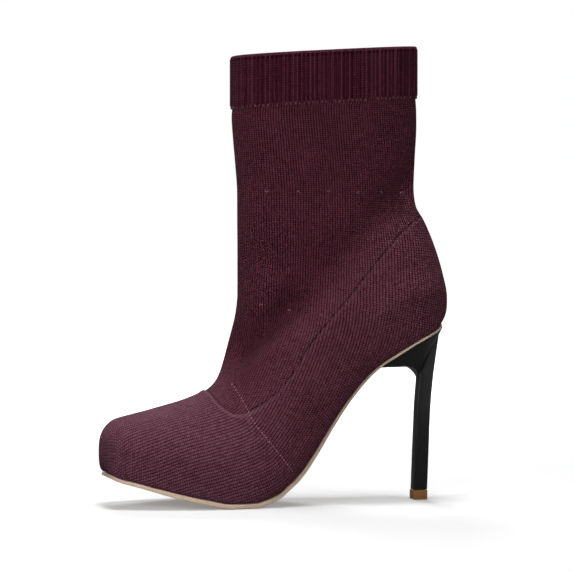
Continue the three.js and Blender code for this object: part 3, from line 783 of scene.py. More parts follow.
@dataclass(frozen=True)
class PlainFinish:
    """A smooth finish with cloudy colour, faint grain and its own gloss."""

    name: str
    colour: Colour
    varied: float
    roughness: float
    grain: float
    grain_scale: float
    coat: float = 0.0
    cloud_scale: float = 40.0

    def material(self) -> bpy.types.Material:
        """The finish as a material."""
        graph = NodeGraph(self.name)
        place = graph.place()
        cloud = graph.noise(place, self.cloud_scale, 4.0)
        grain = graph.noise(place, self.grain_scale, 3.0)
        low = tuple(c * (1 - self.varied) for c in self.colour)
        high = tuple(min(1.0, c * (1 + self.varied)) for c in self.colour)
        tone = graph.math("MULTIPLY_ADD", grain, 0.4, graph.math("MULTIPLY", cloud, 0.6))
        colour = graph.mix(graph.spread(tone, 0.3, 0.7), low, high)
        rough = graph.spread(grain, 0.25, 0.75, self.roughness * 0.88, min(1.0, self.roughness * 1.12))
        return graph.finish(colour, rough, grain, self.grain, coat_weight=self.coat, coat_roughness=0.2)


def piece_from(form: bmesh.types.BMesh, name: str, smooth: bool = True) -> bpy.types.Object:
    """Turns a finished form into a piece of the scene."""
    for face in form.faces:
        face.smooth = smooth
    mesh = bpy.data.meshes.new(name)
    form.to_mesh(mesh)
    form.free()
    piece = bpy.data.objects.new(name, mesh)
    bpy.context.scene.collection.objects.link(piece)
    return piece


def ring_grid(
    name: str, rings: np.ndarray, closed_tube: bool = False
) -> tuple[bpy.types.Object, np.ndarray, np.ndarray]:
    """A closed piece from a stack of closed rings, shaped out of one grid.

    Args:
        name: the piece's name.
        rings: the rings' points in millimetres.
        closed_tube: whether the last ring joins the first, as on a hem's tube.

    Returns:
        The piece, and the ring and column numbers of each corner of its faces.
    """
    count, around = rings.shape[0], rings.shape[1]
    grid = bmesh.new()
    grid.loops.layers.uv.new(KNIT_MAP)
    steps = count if closed_tube else count - 1
    bmesh.ops.create_grid(grid, x_segments=around, y_segments=steps, size=1.0, calc_uvs=True)
    for vertex in grid.verts:
        column = round((vertex.co.x + 1) / 2 * around) % around
        row = round((vertex.co.y + 1) / 2 * steps) % count
        vertex.co = Vector(rings[row, column]) * MM
    edge = [v for v in grid.verts if v.is_boundary]
    bmesh.ops.remove_doubles(grid, verts=edge, dist=1e-7)
    if not closed_tube:
        holes = [e for e in grid.edges if e.is_boundary]
        ends = bmesh.ops.holes_fill(grid, edges=holes, sides=0)["faces"]
        bmesh.ops.poke(grid, faces=ends)
    bmesh.ops.recalc_face_normals(grid, faces=grid.faces[:])
    piece = piece_from(grid, name)
    shares = np.zeros(len(piece.data.loops) * 2, np.float32)
    piece.data.uv_layers[KNIT_MAP].data.foreach_get("uv", shares)
    places = np.round(shares.reshape(-1, 2) * (around, steps)).astype(int).clip(0, (around, steps))
    return piece, places[:, 1], places[:, 0]


def lay_map(piece: bpy.types.Object, across: np.ndarray, up: np.ndarray) -> None:
    """Puts the knit's map on a piece, from places at the corners of its faces."""
    laid = np.stack([across, up], axis=1).astype(np.float32)
    piece.data.uv_layers[KNIT_MAP].data.foreach_set("uv", laid.ravel())


def keep_on_points(piece: bpy.types.Object, name: str, values: np.ndarray) -> None:
    """Keeps a number on each point of a piece, from values at the corners of its faces."""
    corner = np.zeros(len(piece.data.loops), np.int32)
    piece.data.loops.foreach_get("vertex_index", corner)
    kept = np.zeros(len(piece.data.vertices), np.float32)
    kept[corner] = values
    piece.data.attributes.new(name, "FLOAT", "POINT").data.foreach_set("value", kept)


def break_edges(
    form: bmesh.types.BMesh, edges: list[bmesh.types.BMEdge], width: float, segments: int,
    clamped: bool = False,
) -> None:
    """Rounds edges off.

    Args:
        form: the form that they are on.
        edges: the edges.
        width: how wide the rounding is, in millimetres.
        segments: its steps.
        clamped: whether it stops where two of them would meet.
    """
    bmesh.ops.bevel(
        form, geom=edges, offset=width * MM, offset_type="OFFSET", segments=segments, profile=0.5,
        affect="EDGES", material=-1, clamp_overlap=clamped,
    )


def sharp_edges(form: bmesh.types.BMesh, degrees: float) -> list[bmesh.types.BMEdge]:
    """The edges whose two faces meet at more than an angle."""
    shared = [e for e in form.edges if len(e.link_faces) == 2]
    return [e for e in shared if e.calc_face_angle() > math.radians(degrees)]


def apply_modifiers(piece: bpy.types.Object) -> None:
    """Turns a piece's modifiers into its mesh."""
    graph = bpy.context.evaluated_depsgraph_get()
    done = bpy.data.meshes.new_from_object(piece.evaluated_get(graph))
    piece.modifiers.clear()
    piece.data = done


def dress(piece: bpy.types.Object, material: bpy.types.Material, slot: str, *nodes: str) -> None:
    """Gives a piece its finish and its place in the model.

    Args:
        piece: the piece.
        material: its finish.
        slot: the record's slot that the finish belongs to; not used.
        nodes: the solids that the piece stands for.
    """
    piece.data.materials.clear()
    piece.data.materials.append(material)
    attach(piece, BODY)
    if nodes:
        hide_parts(*nodes)
    log.info("%s: %d faces", piece.name, len(piece.data.polygons))


@dataclass
class Upper:
    """The knitted foot and leg in one, with the step along their seam and the soft folds.

    The seam's step is soft on the quarter and crisp over the instep, from one to the other of
    the two places in seam_front.
    """

    last: Last
    cuff_height: float
    side_points: int = 120
    row_step: float = 1.08
    cuff_rows: int = 10
    inner_rows: int = 64
    inner_start: int = 9
    wall: float = 2.0
    below_collar: float = 2.0
    under_cuff: float = 2.0
    seam_step: float = 0.6
    seam_front: tuple[float, float] = (112, 126)
    soft_edge: float = 5.0
    crisp_edge: float = 0.8
    rim: float = 0.32
    groove: float = 0.45
    gore_depth: float = 0.22
    smooth_from: int = 26
    smoothings: int = 10
    foot_line: float = 0.62
    leg_line: float = 0.3
    points: np.ndarray = field(init=False)
    normals: np.ndarray = field(init=False)

    def surface(self, travels: np.ndarray) -> tuple[np.ndarray, np.ndarray, np.ndarray]:
        """The smooth form under the knit.

        Args:
            travels: the rings' places from the toe.

        Returns:
            The rings' points, their outward directions, and their girths.
        """
        points, girth = self.last.rings(travels, self.side_points)
        start = self.smooth_from
        for _ in range(self.smoothings):
            ahead, behind = points[start - 1 : -2], points[start + 1 :]
            points[start:-1] += 0.25 * (ahead - 2 * points[start:-1] + behind)
        return points, outward(points), girth

    def relief(self, points: np.ndarray, normals: np.ndarray) -> tuple[np.ndarray, np.ndarray, np.ndarray]:
        """The step at the seam and the folds.

        Args:
            points: the rings' points.
            normals: their outward directions.

        Returns:
            The outward move of each point, how much of it the folds give, and the distance of
            each point into the foot from the seam.
        """
        flat = points.reshape(-1, 3)
        ways = normals.reshape(-1, 3)
        seam, _ = from_line(flat[:, SIDE_VIEW], fine_line(SEAM_LINE, 240))
        foot = -seam
        front = rising(*self.seam_front, flat[:, 0])
        edge = self.soft_edge + (self.crisp_edge - self.soft_edge) * front
        move = -self.seam_step * rising(0, 1, (0.2 - foot) / edge)
        move -= self.groove * bell(foot + 0.5, 0.9) * (0.5 + 0.8 * front)
        move += self.rim * bell(foot - 1.3, 1.3) * front
        gore, _ = from_line(flat[:, SIDE_VIEW], fine_line(GORE_LINE, 80))
        on_gore = bell(gore, 1.1) * rising(20, 24, flat[:, 2]) * rising(76, 73, flat[:, 2])
        move -= self.gore_depth * on_gore * (np.abs(ways[:, 1]) > 0.05)
        folded = sum(fold.lift(flat, ways) for fold in FOLDS)
        shape = points.shape[:2]
        return (move + folded).reshape(shape), folded.reshape(shape), foot.reshape(shape)

    def build(self) -> bpy.types.Object:
        """Builds the shell, from the toe up to the collar and down again inside."""
        top = self.last.length - self.below_collar
        cuff_start = self.last.length - self.cuff_height + self.under_cuff
        travels = np.concatenate([
            np.arange(0, cuff_start, self.row_step),
            np.linspace(cuff_start, top, self.cuff_rows),
        ])
        points, normals, girth = self.surface(travels)
        move, folded, foot = self.relief(points, normals)
        outside = points + normals * move[:, :, None]
        inside = points + normals * (np.minimum(folded, 0) - self.wall)[:, :, None]
        below = np.linspace(self.inner_start, len(travels) - 1, self.inner_rows)
        below = np.unique(np.round(below).astype(int))[::-1]
        rings = np.concatenate([outside, inside[below]])
        piece, ring, column = ring_grid("upper_knit", rings)
        source = np.concatenate([np.arange(len(travels)), below])[ring]
        self._lay_out_knit(piece, source, column, points, girth, foot)
        depth = foot[source, column % points.shape[1]].clip(-30, 6)
        keep_on_points(piece, SEAM_DISTANCE, np.where(ring < len(travels), depth, -30))
        self.points = outside
        self.normals = normals
        return piece

    def _lay_out_knit(
        self, piece: bpy.types.Object, source: np.ndarray, column: np.ndarray,
        points: np.ndarray, girth: np.ndarray, foot: np.ndarray,
    ) -> None:
        """Lays the wales and courses on the shell. They run along the foot and up the leg.

        Args:
            piece: the shell.
            source: the outer ring that each face corner is on or lies under.
            column: each face corner's column.
            points: the outer rings.
            girth: their girths.
            foot: each outer point's distance into the foot from the seam.
        """
        around = points.shape[1]
        foot_way = lengths_along(points[:, round(self.side_points * self.foot_line)])
        leg_way = lengths_along(points[:, round(self.side_points * self.leg_line)])
        faces = piece.data.polygons
        totals = np.zeros(len(faces), np.int32)
        faces.foreach_get("loop_total", totals)
        of_face = np.repeat(np.arange(len(faces)), totals)
        mean = np.bincount(of_face, foot[source, column % around]) / totals
        way = np.where(mean[of_face] > 0, foot_way[source], leg_way[source] - leg_way[-1])
        whole = girth[source, -1]
        across = girth[source, column]
        across = np.where(column > around // 2, across - whole, across)
        past_middle = np.abs(across) > whole / 2 + 1
        lay_map(piece, np.where(past_middle, np.sign(across) * whole / 2, across), way)


@dataclass
class Cuff:
    """The ribbed cuff, turned over at the collar, with its hem inside."""

    last: Last
    height: float = 31
    ribs: int = 52
    points_per_rib: int = 10
    rib_depth: float = 0.85
    ridges: tuple[float, float] = (0.22, 0.68)
    ridge_width: float = 0.14
    proud: float = 0.2
    inside: float = -2.15

    def profile(self) -> np.ndarray:
        """The cuff's cut edge: height above its lower edge, distance out, and share of the ribs."""
        h, out, inside = self.height, self.proud, self.inside
        outer = [(up, out, 1.0) for up in np.linspace(1.2, h - 2.6, 22)]
        rim = [
            (h - 1.9, out, 1.0), (h - 1.5, out + 0.05, 0.55), (h - 1.1, out + 0.2, 0.15),
            (h - 0.6, out + 0.2, 0.1), (h - 0.15, out - 0.15, 0.1), (h + 0.1, out - 0.7, 0.1),
            (h + 0.1, -1.0, 0.1), (h - 0.15, -1.7, 0.1), (h - 0.7, inside - 0.05, 0.1),
            (h - 1.6, inside, -0.3),
        ]
        down = [(up, inside, -0.45) for up in np.linspace(h - 3, 1.6, 12)]
        hem = [
            (0.9, inside - 0.25, -0.1), (0.3, inside, 0.0), (0.1, inside + 0.6, 0.0),
            (0.1, -0.9, 0.0), (0.15, -0.4, 0.0), (0.1, 0.05, 0.3), (0.45, out - 0.1, 0.8),
        ]
        return np.array(outer + rim + down + hem)

    def rib(self, around: np.ndarray) -> np.ndarray:
        """The ribs' relief round the cuff: two fine ridges in each, no two alike.

        Args:
            around: places round the cuff, in ribs.

        Returns:
            The relief at each place, from 0 in the valleys.
        """
        random = np.random.default_rng(SEED)
        strength = random.uniform(0.6, 1.15, (2, self.ribs))
        phase = around % 1.0
        number = np.floor(around).astype(int) % self.ribs
        first, second = (
            bell(phase - ridge, self.ridge_width) * strong[number]
            for ridge, strong in zip(self.ridges, strength)
        )
        return np.maximum(first, second) * self.rib_depth

    def build(self) -> bpy.types.Object:
        """Builds the cuff as one closed tube."""
        count = self.ribs * self.points_per_rib
        height, out, share = self.profile().T
        base = self.last.length - self.height
        travels = np.clip(base + height, 0, self.last.length)
        beyond = base + height - travels
        points, girth = self.last.rings(travels, count // 2)
        below, collar = self.last.rings(np.array([self.last.length - 10, self.last.length]), count // 2)[0]
        axis = collar - below
        axis /= np.linalg.norm(axis, axis=1)[:, None]
        ordered = self.last.rings(np.linspace(base, self.last.length, 6), count // 2)[0]
        normals = outward(ordered)[2]
        rib = self.rib(np.arange(count) / self.points_per_rib)
        out = out[:, None] + share[:, None] * rib[None]
        rings = points + axis[None] * beyond[:, None, None] + normals[None] * out[:, :, None]
        piece, ring, column = ring_grid("cuff_ribbed", rings, closed_tube=True)
        ring %= len(rings)
        lay_map(piece, girth[0][column], height[ring])
        # The rib height kept here places the painted shade in the valleys and under the rolled rim.
        valley = 1 - rib[column % count] / self.rib_depth
        keep_on_points(piece, RIB_HEIGHT, 1 - share[ring].clip(0, 1) * valley)
        return piece


@dataclass
class Stitches:
    """Small raised stitches that lie on the knit, joined into one piece a kind."""

    upper: Upper
    last: Last
    gore_size: tuple[float, float, float] = (1.25, 0.85, 0.6)
    seam_size: tuple[float, float, float] = (1.0, 0.6, 0.55)
    tuck_size: tuple[float, float, float] = (1.0, 0.45, 0.45)
    loop_size: tuple[float, float, float] = (2.5, 1.0, 0.9)
    loop_lean: float = 0.75
    loops_missing: float = 0.14

    def on_surface(self, x: float, z: float, side: Side) -> tuple[Vector, Vector]:
        """The knit's surface at a place in the side view.

        Args:
            x: place along the foot.
            z: height.
            side: the side of the boot.

        Returns:
            The place and its outward direction.
        """
        points = self.upper.points.reshape(-1, 3)
        normals = self.upper.normals.reshape(-1, 3)
        turned_away = normals[:, 1] * side.value[1] <= 0.02
        far = np.hypot(points[:, 0] - x, points[:, 2] - z) + np.where(turned_away, 1e6, 0)
        near = np.argsort(far)[:4]
        weight = 1 / (far[near] + 0.05)
        weight /= weight.sum()
        place = (points[near] * weight[:, None]).sum(0)
        normal = (normals[near] * weight[:, None]).sum(0)
        return Vector((x, place[1], z)), Vector(normal).normalized()

    def lay(
        self, name: str, seats: list[tuple[Vector, Vector, Vector]], size: tuple[float, float, float]
    ) -> bpy.types.Object:
        """Lays one small rounded stitch on each seat and joins them.

        Args:
            name: the piece's name.
            seats: each stitch's place, its outward direction and the way it runs.
            size: its length, width and height.

        Returns:
            The joined piece.
        """
        joined = bmesh.new()
        for place, normal, way in seats:
            along = (way - normal * way.dot(normal)).normalized()
            turn = Matrix((along, normal.cross(along), normal)).transposed().to_4x4()
            scale = Matrix.Diagonal((*(s / 2 * MM for s in size), 1.0))
            seat = Matrix.Translation(place * MM) @ turn @ scale
            bmesh.ops.create_icosphere(joined, subdivisions=1, radius=1.0, matrix=seat)
        return piece_from(joined, name)

    def gore(self) -> bpy.types.Object:
        """The dotted line where the vamp's rows turn into the quarter's, on both sides."""
        seats = []
        line = fine_line(GORE_LINE[1:], 37)
        random = np.random.default_rng(SEED + 3)
        for side in (Side.OUTER, Side.INNER):
            for k, (start, end) in enumerate(zip(line[:-1], line[1:])):
                place, normal = self.on_surface(*start, side)
                sunk = random.uniform(0.0, 0.12) if k % 2 == 0 else -0.2
                way = Vector((end[0] - start[0], 0, end[1] - start[1]))
                seats.append((place + normal * sunk, normal, way))
        return self.lay("gore_stitches", seats, self.gore_size)

    def marks(self) -> bpy.types.Object:
        """Two rows of single tucked stitches across the leg and the ankle."""
        row_leg = [(101.7, 191.5), (83, 191.4), (64.9, 191.6), (46.4, 191), (29.5, 191), (14.1, 191.5)]
        row_ankle = [(104.9, 122.6), (86.8, 118.9), (69.8, 116.4), (52.9, 112.9)]
        random = np.random.default_rng(SEED + 2)
        seats = []
        for side in (Side.OUTER, Side.INNER):
            for x, z in row_leg + row_ankle:
                for shift in (-0.7, 0.2, 0.9)[: random.integers(1, 4)]:
                    place, normal = self.on_surface(x + shift, z + random.uniform(-0.5, 0.5), side)
                    seats.append((place + normal * 0.1, normal, Vector((random.uniform(-1, 1), 0, 0.7))))
        return self.lay("tuck_stitches", seats, self.tuck_size)

    def seam_dots(self) -> bpy.types.Object:
        """The linking stitches at the back end of the diagonal seam."""
        seats = []
        for side in (Side.OUTER, Side.INNER):
            for x, z in fine_line(SEAM_LINE[2:5], 9)[:-1]:
                place, normal = self.on_surface(x - 0.5, z - 1.2, side)
                seats.append((place + normal * 0.1, normal, Vector((1, 0, -0.8))))
        return self.lay("seam_stitches", seats, self.seam_size)

    def transfer(self, cuff: Cuff) -> bpy.types.Object:
        """The slanted loops along the cuff's lower edge, a pair under each rib."""
        count = cuff.ribs * 4
        base = self.last.length - cuff.height
        rings = self.last.rings(base + np.array([-1.6, -0.6, 0.4, 1.4]), count // 2)[0]
        normals = outward(rings)[1]
        random = np.random.default_rng(SEED + 1)
        seats = []
        for k in range(0, count, 2):
            if random.random() < self.loops_missing:
                continue
            normal = Vector(normals[k])
            up = Vector(rings[2][k] - rings[1][k]).normalized()
            lean = self.loop_lean if (k // 2) % 2 else -self.loop_lean
            lift = random.uniform(-0.25, 0.25)
            place = Vector(rings[1][k]) + normal * (0.15 + 0.3 * random.random()) + up * lift
            seats.append((place, normal, up + up.cross(normal) * lean))
        return self.lay("transfer_stitches", seats, self.loop_size)


@dataclass
class Plate:
    """A thin plate that follows the underside of the foot."""

    last: Last
    name: str
    margin: float
    top: float
    thickness: float
    seat_thickness: float
    corner: float
    edge_round: float
    toe_margin: float
    toe_share: float = 1.0
    toe_taper: float = 45
    shank_share: float = 0.85
    least_half: float = 1.2
    stations: int = 190

    def thickness_at(self, level: np.ndarray) -> np.ndarray:
        """The thickness by how far it is up to the seat: it is all gone over on the shank."""
        share = np.minimum(1, level / self.shank_share)
        return self.thickness + (self.seat_thickness - self.thickness) * share

    def half_section(self, half: float, thickness: float) -> list[tuple[float, float]]:
        """One side of the plate's cross-section, from the middle of its top to its under face."""
        r = min(self.edge_round, thickness / 2 - 0.02, half / 2)
        turns = np.linspace(0, math.pi / 2, 5)
        upper = [(half - r + r * math.sin(a), self.top - r + r * math.cos(a)) for a in turns]
        lower = [(half - r + r * math.cos(a), self.top - thickness + r - r * math.sin(a)) for a in turns]
        flats = [half * k for k in (0.0, 0.3, 0.6, 0.85)]
        above = [(min(y, half - r - 0.01), self.top) for y in flats]
        below = [(min(y, half - r - 0.01), self.top - thickness) for y in reversed(flats)]
        return above + upper + lower + below

    def build(self) -> bpy.types.Object:
        """Builds the plate from the toe to the back of the seat."""
        total = self.last.under_length
        shares = (1 - np.cos(np.linspace(0, math.pi, self.stations))) / 2
        even = np.linspace(0, 1, self.stations)
        reach = total + self.margin + self.toe_margin
        travels = -self.toe_margin + reach * (0.25 * shares + 0.75 * even)
        places, up, widths = self.last.under_line(travels)
        from_end = np.minimum(travels + self.toe_margin, total + self.margin - travels)
        short = np.clip(1 - from_end / self.corner, 0, 1)
        less = self.corner * (1 - np.sqrt(1 - short**2))
        thickness = self.thickness_at(widths[:, 2])
        thickness *= self.toe_share + (1 - self.toe_share) * rising(0, self.toe_taper, travels)
        halves = np.maximum(self.least_half, widths[:, :2] + self.margin - less[:, None])
        rings = []
        for (x, z), (up_x, up_z), (outer, inner), thick in zip(places, up, halves, thickness):
            section = self.half_section(outer, thick)
            section += [(-y, h) for y, h in reversed(self.half_section(inner, thick))][1:-1]
            rings.append([(x + up_x * h, y, z + up_z * h) for y, h in section])
        return ring_grid(self.name, np.array(rings))[0]


@dataclass
class HeelLift:
    """The small brown lift under the stem."""

    length: float = 9.4
    width: float = 9.2
    height: float = 6
    corner: float = 1.2
    edge: float = 0.35
    front_rounding: float = 1.6

    def build(self) -> bpy.types.Object:
        """Builds the lift from a block with rounded corners."""
        form = bmesh.new()
        size = Matrix.Diagonal((self.length * MM, self.width * MM, self.height * MM, 1.0))
        place = Matrix.Translation((0, 0, self.height / 2 * MM))
        bmesh.ops.create_cube(form, size=1.0, matrix=place @ size)
        upright = [e for e in form.edges if abs(e.verts[0].co.z - e.verts[1].co.z) > MM]
        break_edges(form, upright, self.corner, 6)
        front = [
            e for e in form.edges
            if all(v.co.z < 0.1 * MM and v.co.x > (self.length / 2 - 0.05) * MM for v in e.verts)
        ]
        break_edges(form, front, self.front_rounding, 6)
        break_edges(form, sharp_edges(form, 50), self.edge, 3)
        piece = piece_from(form, "heel_lift_block")
        piece.data.set_sharp_from_angle(angle=SHARP_ANGLE)
        return piece


@dataclass
class Heel:
    """The slim square heel with the hollow wing that carries the seat."""

    last: Last
    sole: Plate
    lift: HeelLift
    gap: float = 0.3
    ledge: float = 0.4
    chamfer: float = 0.7
    breast_share: float = 0.772
    breast_rounding: float = 9
    wing_root_share: float = 0.65
    wing_reach: float = 0.233
    wing_hollow: float = 1.35
    wing_inset: float = 0.6
    edge: float = 0.35

    def stem(self) -> bpy.types.Object:
        """The stem, a chamfered square that leans back as it rises."""
        rows = np.array(STEM_ROWS)
        rows[0, 0] = (self.lift.height + self.gap) / self.last.heel_height
        heights = np.concatenate([np.linspace(rows[0, 0], 0.6, 10), np.linspace(0.62, 1.05, 24)])
        table = smooth_between(rows[:, 0], rows, heights)
        half = self.lift.width / 2 - self.ledge
        c = self.chamfer
        rings = []
        for height, back, front in table:
            b, f, z = back * self.lift.length, front * self.lift.length, height * self.last.heel_height
            rings.append([
                (f, c - half, z), (f, half - c, z), (f - c, half, z), (b + c, half, z),
                (b, half - c, z), (b, c - half, z), (b + c, -half, z), (f - c, -half, z),
            ])
        return ring_grid("heel_stem", np.array(rings))[0]

    def sole_under(self, travels: np.ndarray) -> tuple[np.ndarray, np.ndarray]:
        """The outsole's under face with a gap, and the half widths of its edge."""
        places, up, widths = self.last.under_line(travels)
        down = self.sole.thickness_at(widths[:, 2]) + 2 * self.gap
        return places - up * down[:, None], widths[:, :2] + self.sole.margin - self.wing_inset

    def wing(self) -> bpy.types.Object:
        """The wing, which flares from a root on the stem to the outsole's edge."""
        total = self.last.under_length
        travels = np.linspace(0, total, 400)
        line, widths = self.sole_under(travels)
        reach = self.wing_reach * self.last.foot_length - self.last.back_overhang
        seat = travels[line[:, 0] <= reach]
        line, widths = self.sole_under(np.linspace(seat[0], seat[-1], 34)[::-1])
        outer = np.stack([line[:, 0], widths[:, 0], line[:, 1]], axis=1)
        inner = np.stack([line[:, 0], -widths[:, 1], line[:, 1]], axis=1)[::-1]
        rim = np.concatenate([outer, inner])
        root = np.array([0, 0, self.wing_root_share * self.last.heel_height])
        rings = [
            root + (rim - root) * np.array([share**self.wing_hollow, share**self.wing_hollow, share])
            for share in np.linspace(0.1, 1.12, 26)
        ]
        return ring_grid("heel_wing", np.array(rings))[0]

    def prism(self, name: str, outline: list[tuple[float, float]]) -> bpy.types.Object:
        """A prism right across the boot, from its outline seen from the side."""
        form = bmesh.new()
        reach = self.last.ball_width
        corners = [form.verts.new((x * MM, -reach * MM, z * MM)) for x, z in outline]
        face = form.faces.new(corners)
        pulled = bmesh.ops.extrude_face_region(form, geom=[face])["geom"]
        moved = [v for v in pulled if isinstance(v, bmesh.types.BMVert)]
        bmesh.ops.translate(form, verts=moved, vec=(0, 2 * reach * MM, 0))
        bmesh.ops.recalc_face_normals(form, faces=form.faces[:])
        return piece_from(form, name, smooth=False)

    def breast(self) -> bpy.types.Object:
        """What is cut away in front of the stem, below the wing's under face."""
        ceiling = self.breast_share * self.last.heel_height
        r = self.breast_rounding
        tall = self.last.heel_height
        front = [(x * self.lift.length, z * tall) for z, _, x in STEM_ROWS if z * tall < ceiling - r / 2]
        corner = front[-1]
        turns = np.linspace(math.pi, math.pi / 2, 14)
        arc = [(corner[0] + r + r * math.cos(a), ceiling - r + r * math.sin(a)) for a in turns]
        reach = self.last.foot_length / 2
        outline = [(front[0][0], -1.0), *front[:-1], *arc, (reach, ceiling), (reach, -1.0)]
        return self.prism("heel_breast", outline)

    def seat(self) -> bpy.types.Object:
        """Everything above the outsole's under face."""
        total = self.last.under_length
        line, _ = self.sole_under(np.linspace(total * 0.45, total + 20, 80))
        points = [(float(x), float(z)) for x, z in line]
        outline = [*points, (points[-1][0], 300.0), (points[0][0], 300.0)]
        return self.prism("heel_seat", outline)

    def build(self) -> bpy.types.Object:
        """Joins the stem and the wing, cuts them and breaks their edges."""
        stem = self.stem()
        wing = self.wing()
        cutters = [self.seat(), self.breast()]
        for operation, tool in (("UNION", wing), ("DIFFERENCE", cutters[0]), ("DIFFERENCE", cutters[1])):
            cut = stem.modifiers.new(operation.lower(), "BOOLEAN")
            cut.operation = operation
            cut.solver = "EXACT"
            cut.object = tool
        apply_modifiers(stem)
        for tool in (wing, *cutters):
            bpy.data.objects.remove(tool)
        form = bmesh.new()
        form.from_mesh(stem.data)
        bmesh.ops.remove_doubles(form, verts=form.verts[:], dist=0.00002)
        bmesh.ops.dissolve_limit(
            form, angle_limit=math.radians(1.5), verts=form.verts[:], edges=form.edges[:]
        )
        break_edges(form, sharp_edges(form, 28), self.edge, 3, clamped=True)
        bmesh.ops.triangulate(form, faces=[f for f in form.faces if len(f.verts) > 4])
        for face in form.faces:
            face.smooth = True
        form.to_mesh(stem.data)
        form.free()
        stem.data.set_sharp_from_angle(angle=SHARP_ANGLE)
        stem.name = "heel_block"
        stem.data.name = "heel_block"
        return stem


@dataclass(frozen=True)
class Lamp:
    """A soft white lamp: its place, its width, its watts and the place that it faces."""

    name: str
    place: tuple[float, float, float]
    size: float
    power: float
    aim: tuple[float, float, float] = (0.08, 0.0, 0.14)

    def hang(self) -> None:
        """Hangs the lamp, unseen by the camera."""
        light = bpy.data.lights.new(self.name, "AREA")
        light.shape = "DISK"
        light.size = self.size
        light.energy = self.power
        holder = bpy.data.objects.new(self.name, light)
        holder.visible_camera = False
        point(holder, self.place, self.aim)


def point(thing: bpy.types.Object, place: tuple, aim: tuple) -> None:
    """Puts a lamp or camera in its place, facing its aim."""
    thing.location = place
    thing.rotation_euler = (Vector(aim) - Vector(place)).to_track_quat("-Z", "Y").to_euler()
    bpy.context.scene.collection.objects.link(thing)


LAMPS = (
    Lamp("top", (0.1, 0.05, 2.4), 0.8, 32.5),
    Lamp("back", (0.0, -1.7, 1.25), 0.8, 17),
    Lamp("toe_side", (1.9, 1.2, 0.5), 0.8, 1.8),
    Lamp("low_front", (0.4, 0.8, 0.2), 0.3, 1.05, (0.16, 0.0, 0.04)),
    Lamp("low_toe", (0.52, 0.36, 0.24), 0.2, 1.1, (0.19, 0.0, 0.02)),
    Lamp("low_heel", (-0.4, 0.7, 0.3), 0.3, 1.4, (0.05, 0.0, 0.12)),
)


@dataclass
class Studio:
    """The pale floor, the soft light and the camera."""

    camera_place: tuple[float, float, float] = (0.50505, 1.75027, 0.1712)
    camera_aim: tuple[float, float, float] = (0.08485, 0.0, 0.1332)
    lens: float = 183.24
    sensor: float = 36.0
    floor_reach: float = 8.0
    floor_drop: float = 0.0002
    room_light: float = 0.02
    low_light: float = 0.1

    def floor(self) -> None:
        """The plain floor, which fades into the white room."""
        form = bmesh.new()
        bmesh.ops.create_grid(form, x_segments=4, y_segments=4, size=self.floor_reach)
        floor = piece_from(form, "floor", smooth=False)
        floor.location.z = -self.floor_drop
        floor.visible_diffuse = False
        floor.visible_glossy = False
        graph = NodeGraph("pale_floor")
        cloud = graph.noise(graph.place(), 3.0)
        colour = graph.mix(cloud, (0.86, 0.86, 0.86), (0.9, 0.9, 0.9))
        measure = graph.add("ShaderNodeVectorMath", operation="LENGTH")
        graph.put(measure.inputs[0], graph.place())
        far = graph.spread(measure.outputs["Value"], 0.35, 0.9)
        glow = graph.mix(far, (0.2, 0.2, 0.2), (1, 1, 1))
        floor.data.materials.append(graph.finish(colour, 0.9, emission_color=glow, emission_strength=1.0))

    def surroundings(self) -> None:
        """A white room, which lights the boot only softly."""
        world = bpy.data.worlds.new("soft_white")
        world.use_nodes = True
        tree = world.node_tree
        shade = tree.nodes["Background"]
        shade.inputs["Color"].default_value = (1, 1, 1, 1)
        path, look, split, room, strength = (
            tree.nodes.new("ShaderNode" + kind)
            for kind in ("LightPath", "TexCoord", "SeparateXYZ", "MapRange", "MapRange")
        )
        room.inputs["From Min"].default_value = -0.3
        room.inputs["From Max"].default_value = 1.0
        room.inputs["To Min"].default_value = self.low_light
        room.inputs["To Max"].default_value = self.room_light
        strength.inputs["To Max"].default_value = 1.0
        tree.links.new(look.outputs["Generated"], split.inputs[0])
        tree.links.new(split.outputs["Z"], room.inputs["Value"])
        tree.links.new(room.outputs["Result"], strength.inputs["To Min"])
        tree.links.new(path.outputs["Is Camera Ray"], strength.inputs["Value"])
        tree.links.new(strength.outputs["Result"], shade.inputs["Strength"])
        bpy.context.scene.world = world

    def build(self) -> None:
        """Sets up the whole studio."""
        scene = bpy.context.scene
        self.floor()
        self.surroundings()
        for lamp in LAMPS:
            lamp.hang()
        lens = bpy.data.cameras.new("camera")
        lens.lens = self.lens
        lens.sensor_width = self.sensor
        lens.sensor_fit = "HORIZONTAL"
        lens.clip_start = 0.05
        lens.clip_end = 60
        camera = bpy.data.objects.new("camera", lens)
        point(camera, self.camera_place, self.camera_aim)
        scene.camera = camera
        scene.view_settings.view_transform = "Standard"
        scene.view_settings.look = "None"


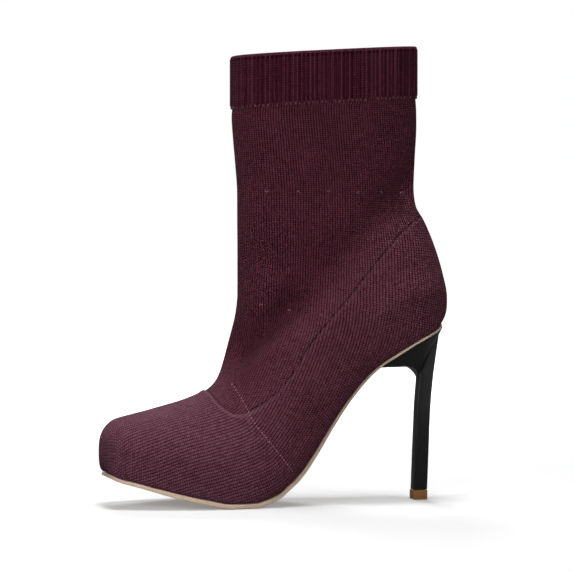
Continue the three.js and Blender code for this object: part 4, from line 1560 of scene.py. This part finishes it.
KNIT = KnitFinish(
    "knit_wine", Relief.SEAM, 1.95, 1.42,
    leg=Yarn(linear(124, 64, 83), linear(26, 2, 8)),
    # The foot's and vamp's yarns are painted light: paler for the brighter light low on the boot, and
    # greyer on the vamp for the top light's sheen.
    foot=Yarn(linear(139, 84, 101), linear(52, 7, 23)),
    vamp=Yarn(linear(140, 94, 109), linear(66, 15, 37)),
)
RIB_KNIT = KnitFinish(
    "knit_ribbed", Relief.RIBS, 1.3, 1.5, leg=Yarn(linear(114, 58, 80), linear(58, 6, 24))
)
THREAD = PlainFinish("thread_light", linear(178, 134, 148), 0.3, 0.85, 0.1, 1500.0)
TRANSFER_THREAD = PlainFinish(
    "thread_transfer", linear(108, 58, 73), 0.6, 0.85, 0.1, 1500.0, cloud_scale=350.0
)
SOLE = PlainFinish("sole_tan", linear(232, 202, 178), 0.1, 0.55, 0.05, 900.0)
INSOLE = PlainFinish("insole_board", linear(150, 124, 104), 0.12, 0.85, 0.08, 1400.0)
HEEL = PlainFinish("heel_satin_black", linear(21, 21, 22), 0.12, 0.34, 0.012, 600.0, coat=0.25)
LIFT = PlainFinish("lift_brown", linear(150, 98, 48), 0.16, 0.55, 0.05, 900.0)


def main() -> None:
    """Builds the boot's pieces in order."""
    last = Last()
    cuff = Cuff(last)
    upper = Upper(last, cuff.height)
    outsole = Plate(
        last, "outsole_edge", margin=1.2, top=-0.3, thickness=2.8, seat_thickness=1.5,
        corner=4.5, edge_round=0.55, toe_margin=0.2, toe_share=0.75,
    )
    insole = Plate(
        last, "insole_board", margin=-2.0, top=3.8, thickness=1.5, seat_thickness=1.5,
        corner=4.0, edge_round=0.4, toe_margin=-2.0,
    )
    lift = HeelLift()
    dress(upper.build(), KNIT.material(), "knit", "upper")
    dress(cuff.build(), RIB_KNIT.material(), "knit", "upper")
    stitches = Stitches(upper, last)
    thread = THREAD.material()
    for piece in (stitches.gore(), stitches.seam_dots(), stitches.marks()):
        dress(piece, thread, "knit", "upper")
    dress(stitches.transfer(cuff), TRANSFER_THREAD.material(), "knit", "upper")
    dress(outsole.build(), SOLE.material(), "outsole", "outsole")
    dress(insole.build(), INSOLE.material(), "insole", "insole")
    dress(Heel(last, outsole, lift).build(), HEEL.material(), "heel", "heel")
    dress(lift.build(), LIFT.material(), "heel_lift", "heel_lift")
    Studio().build()


if __name__ == "__main__":
    main()
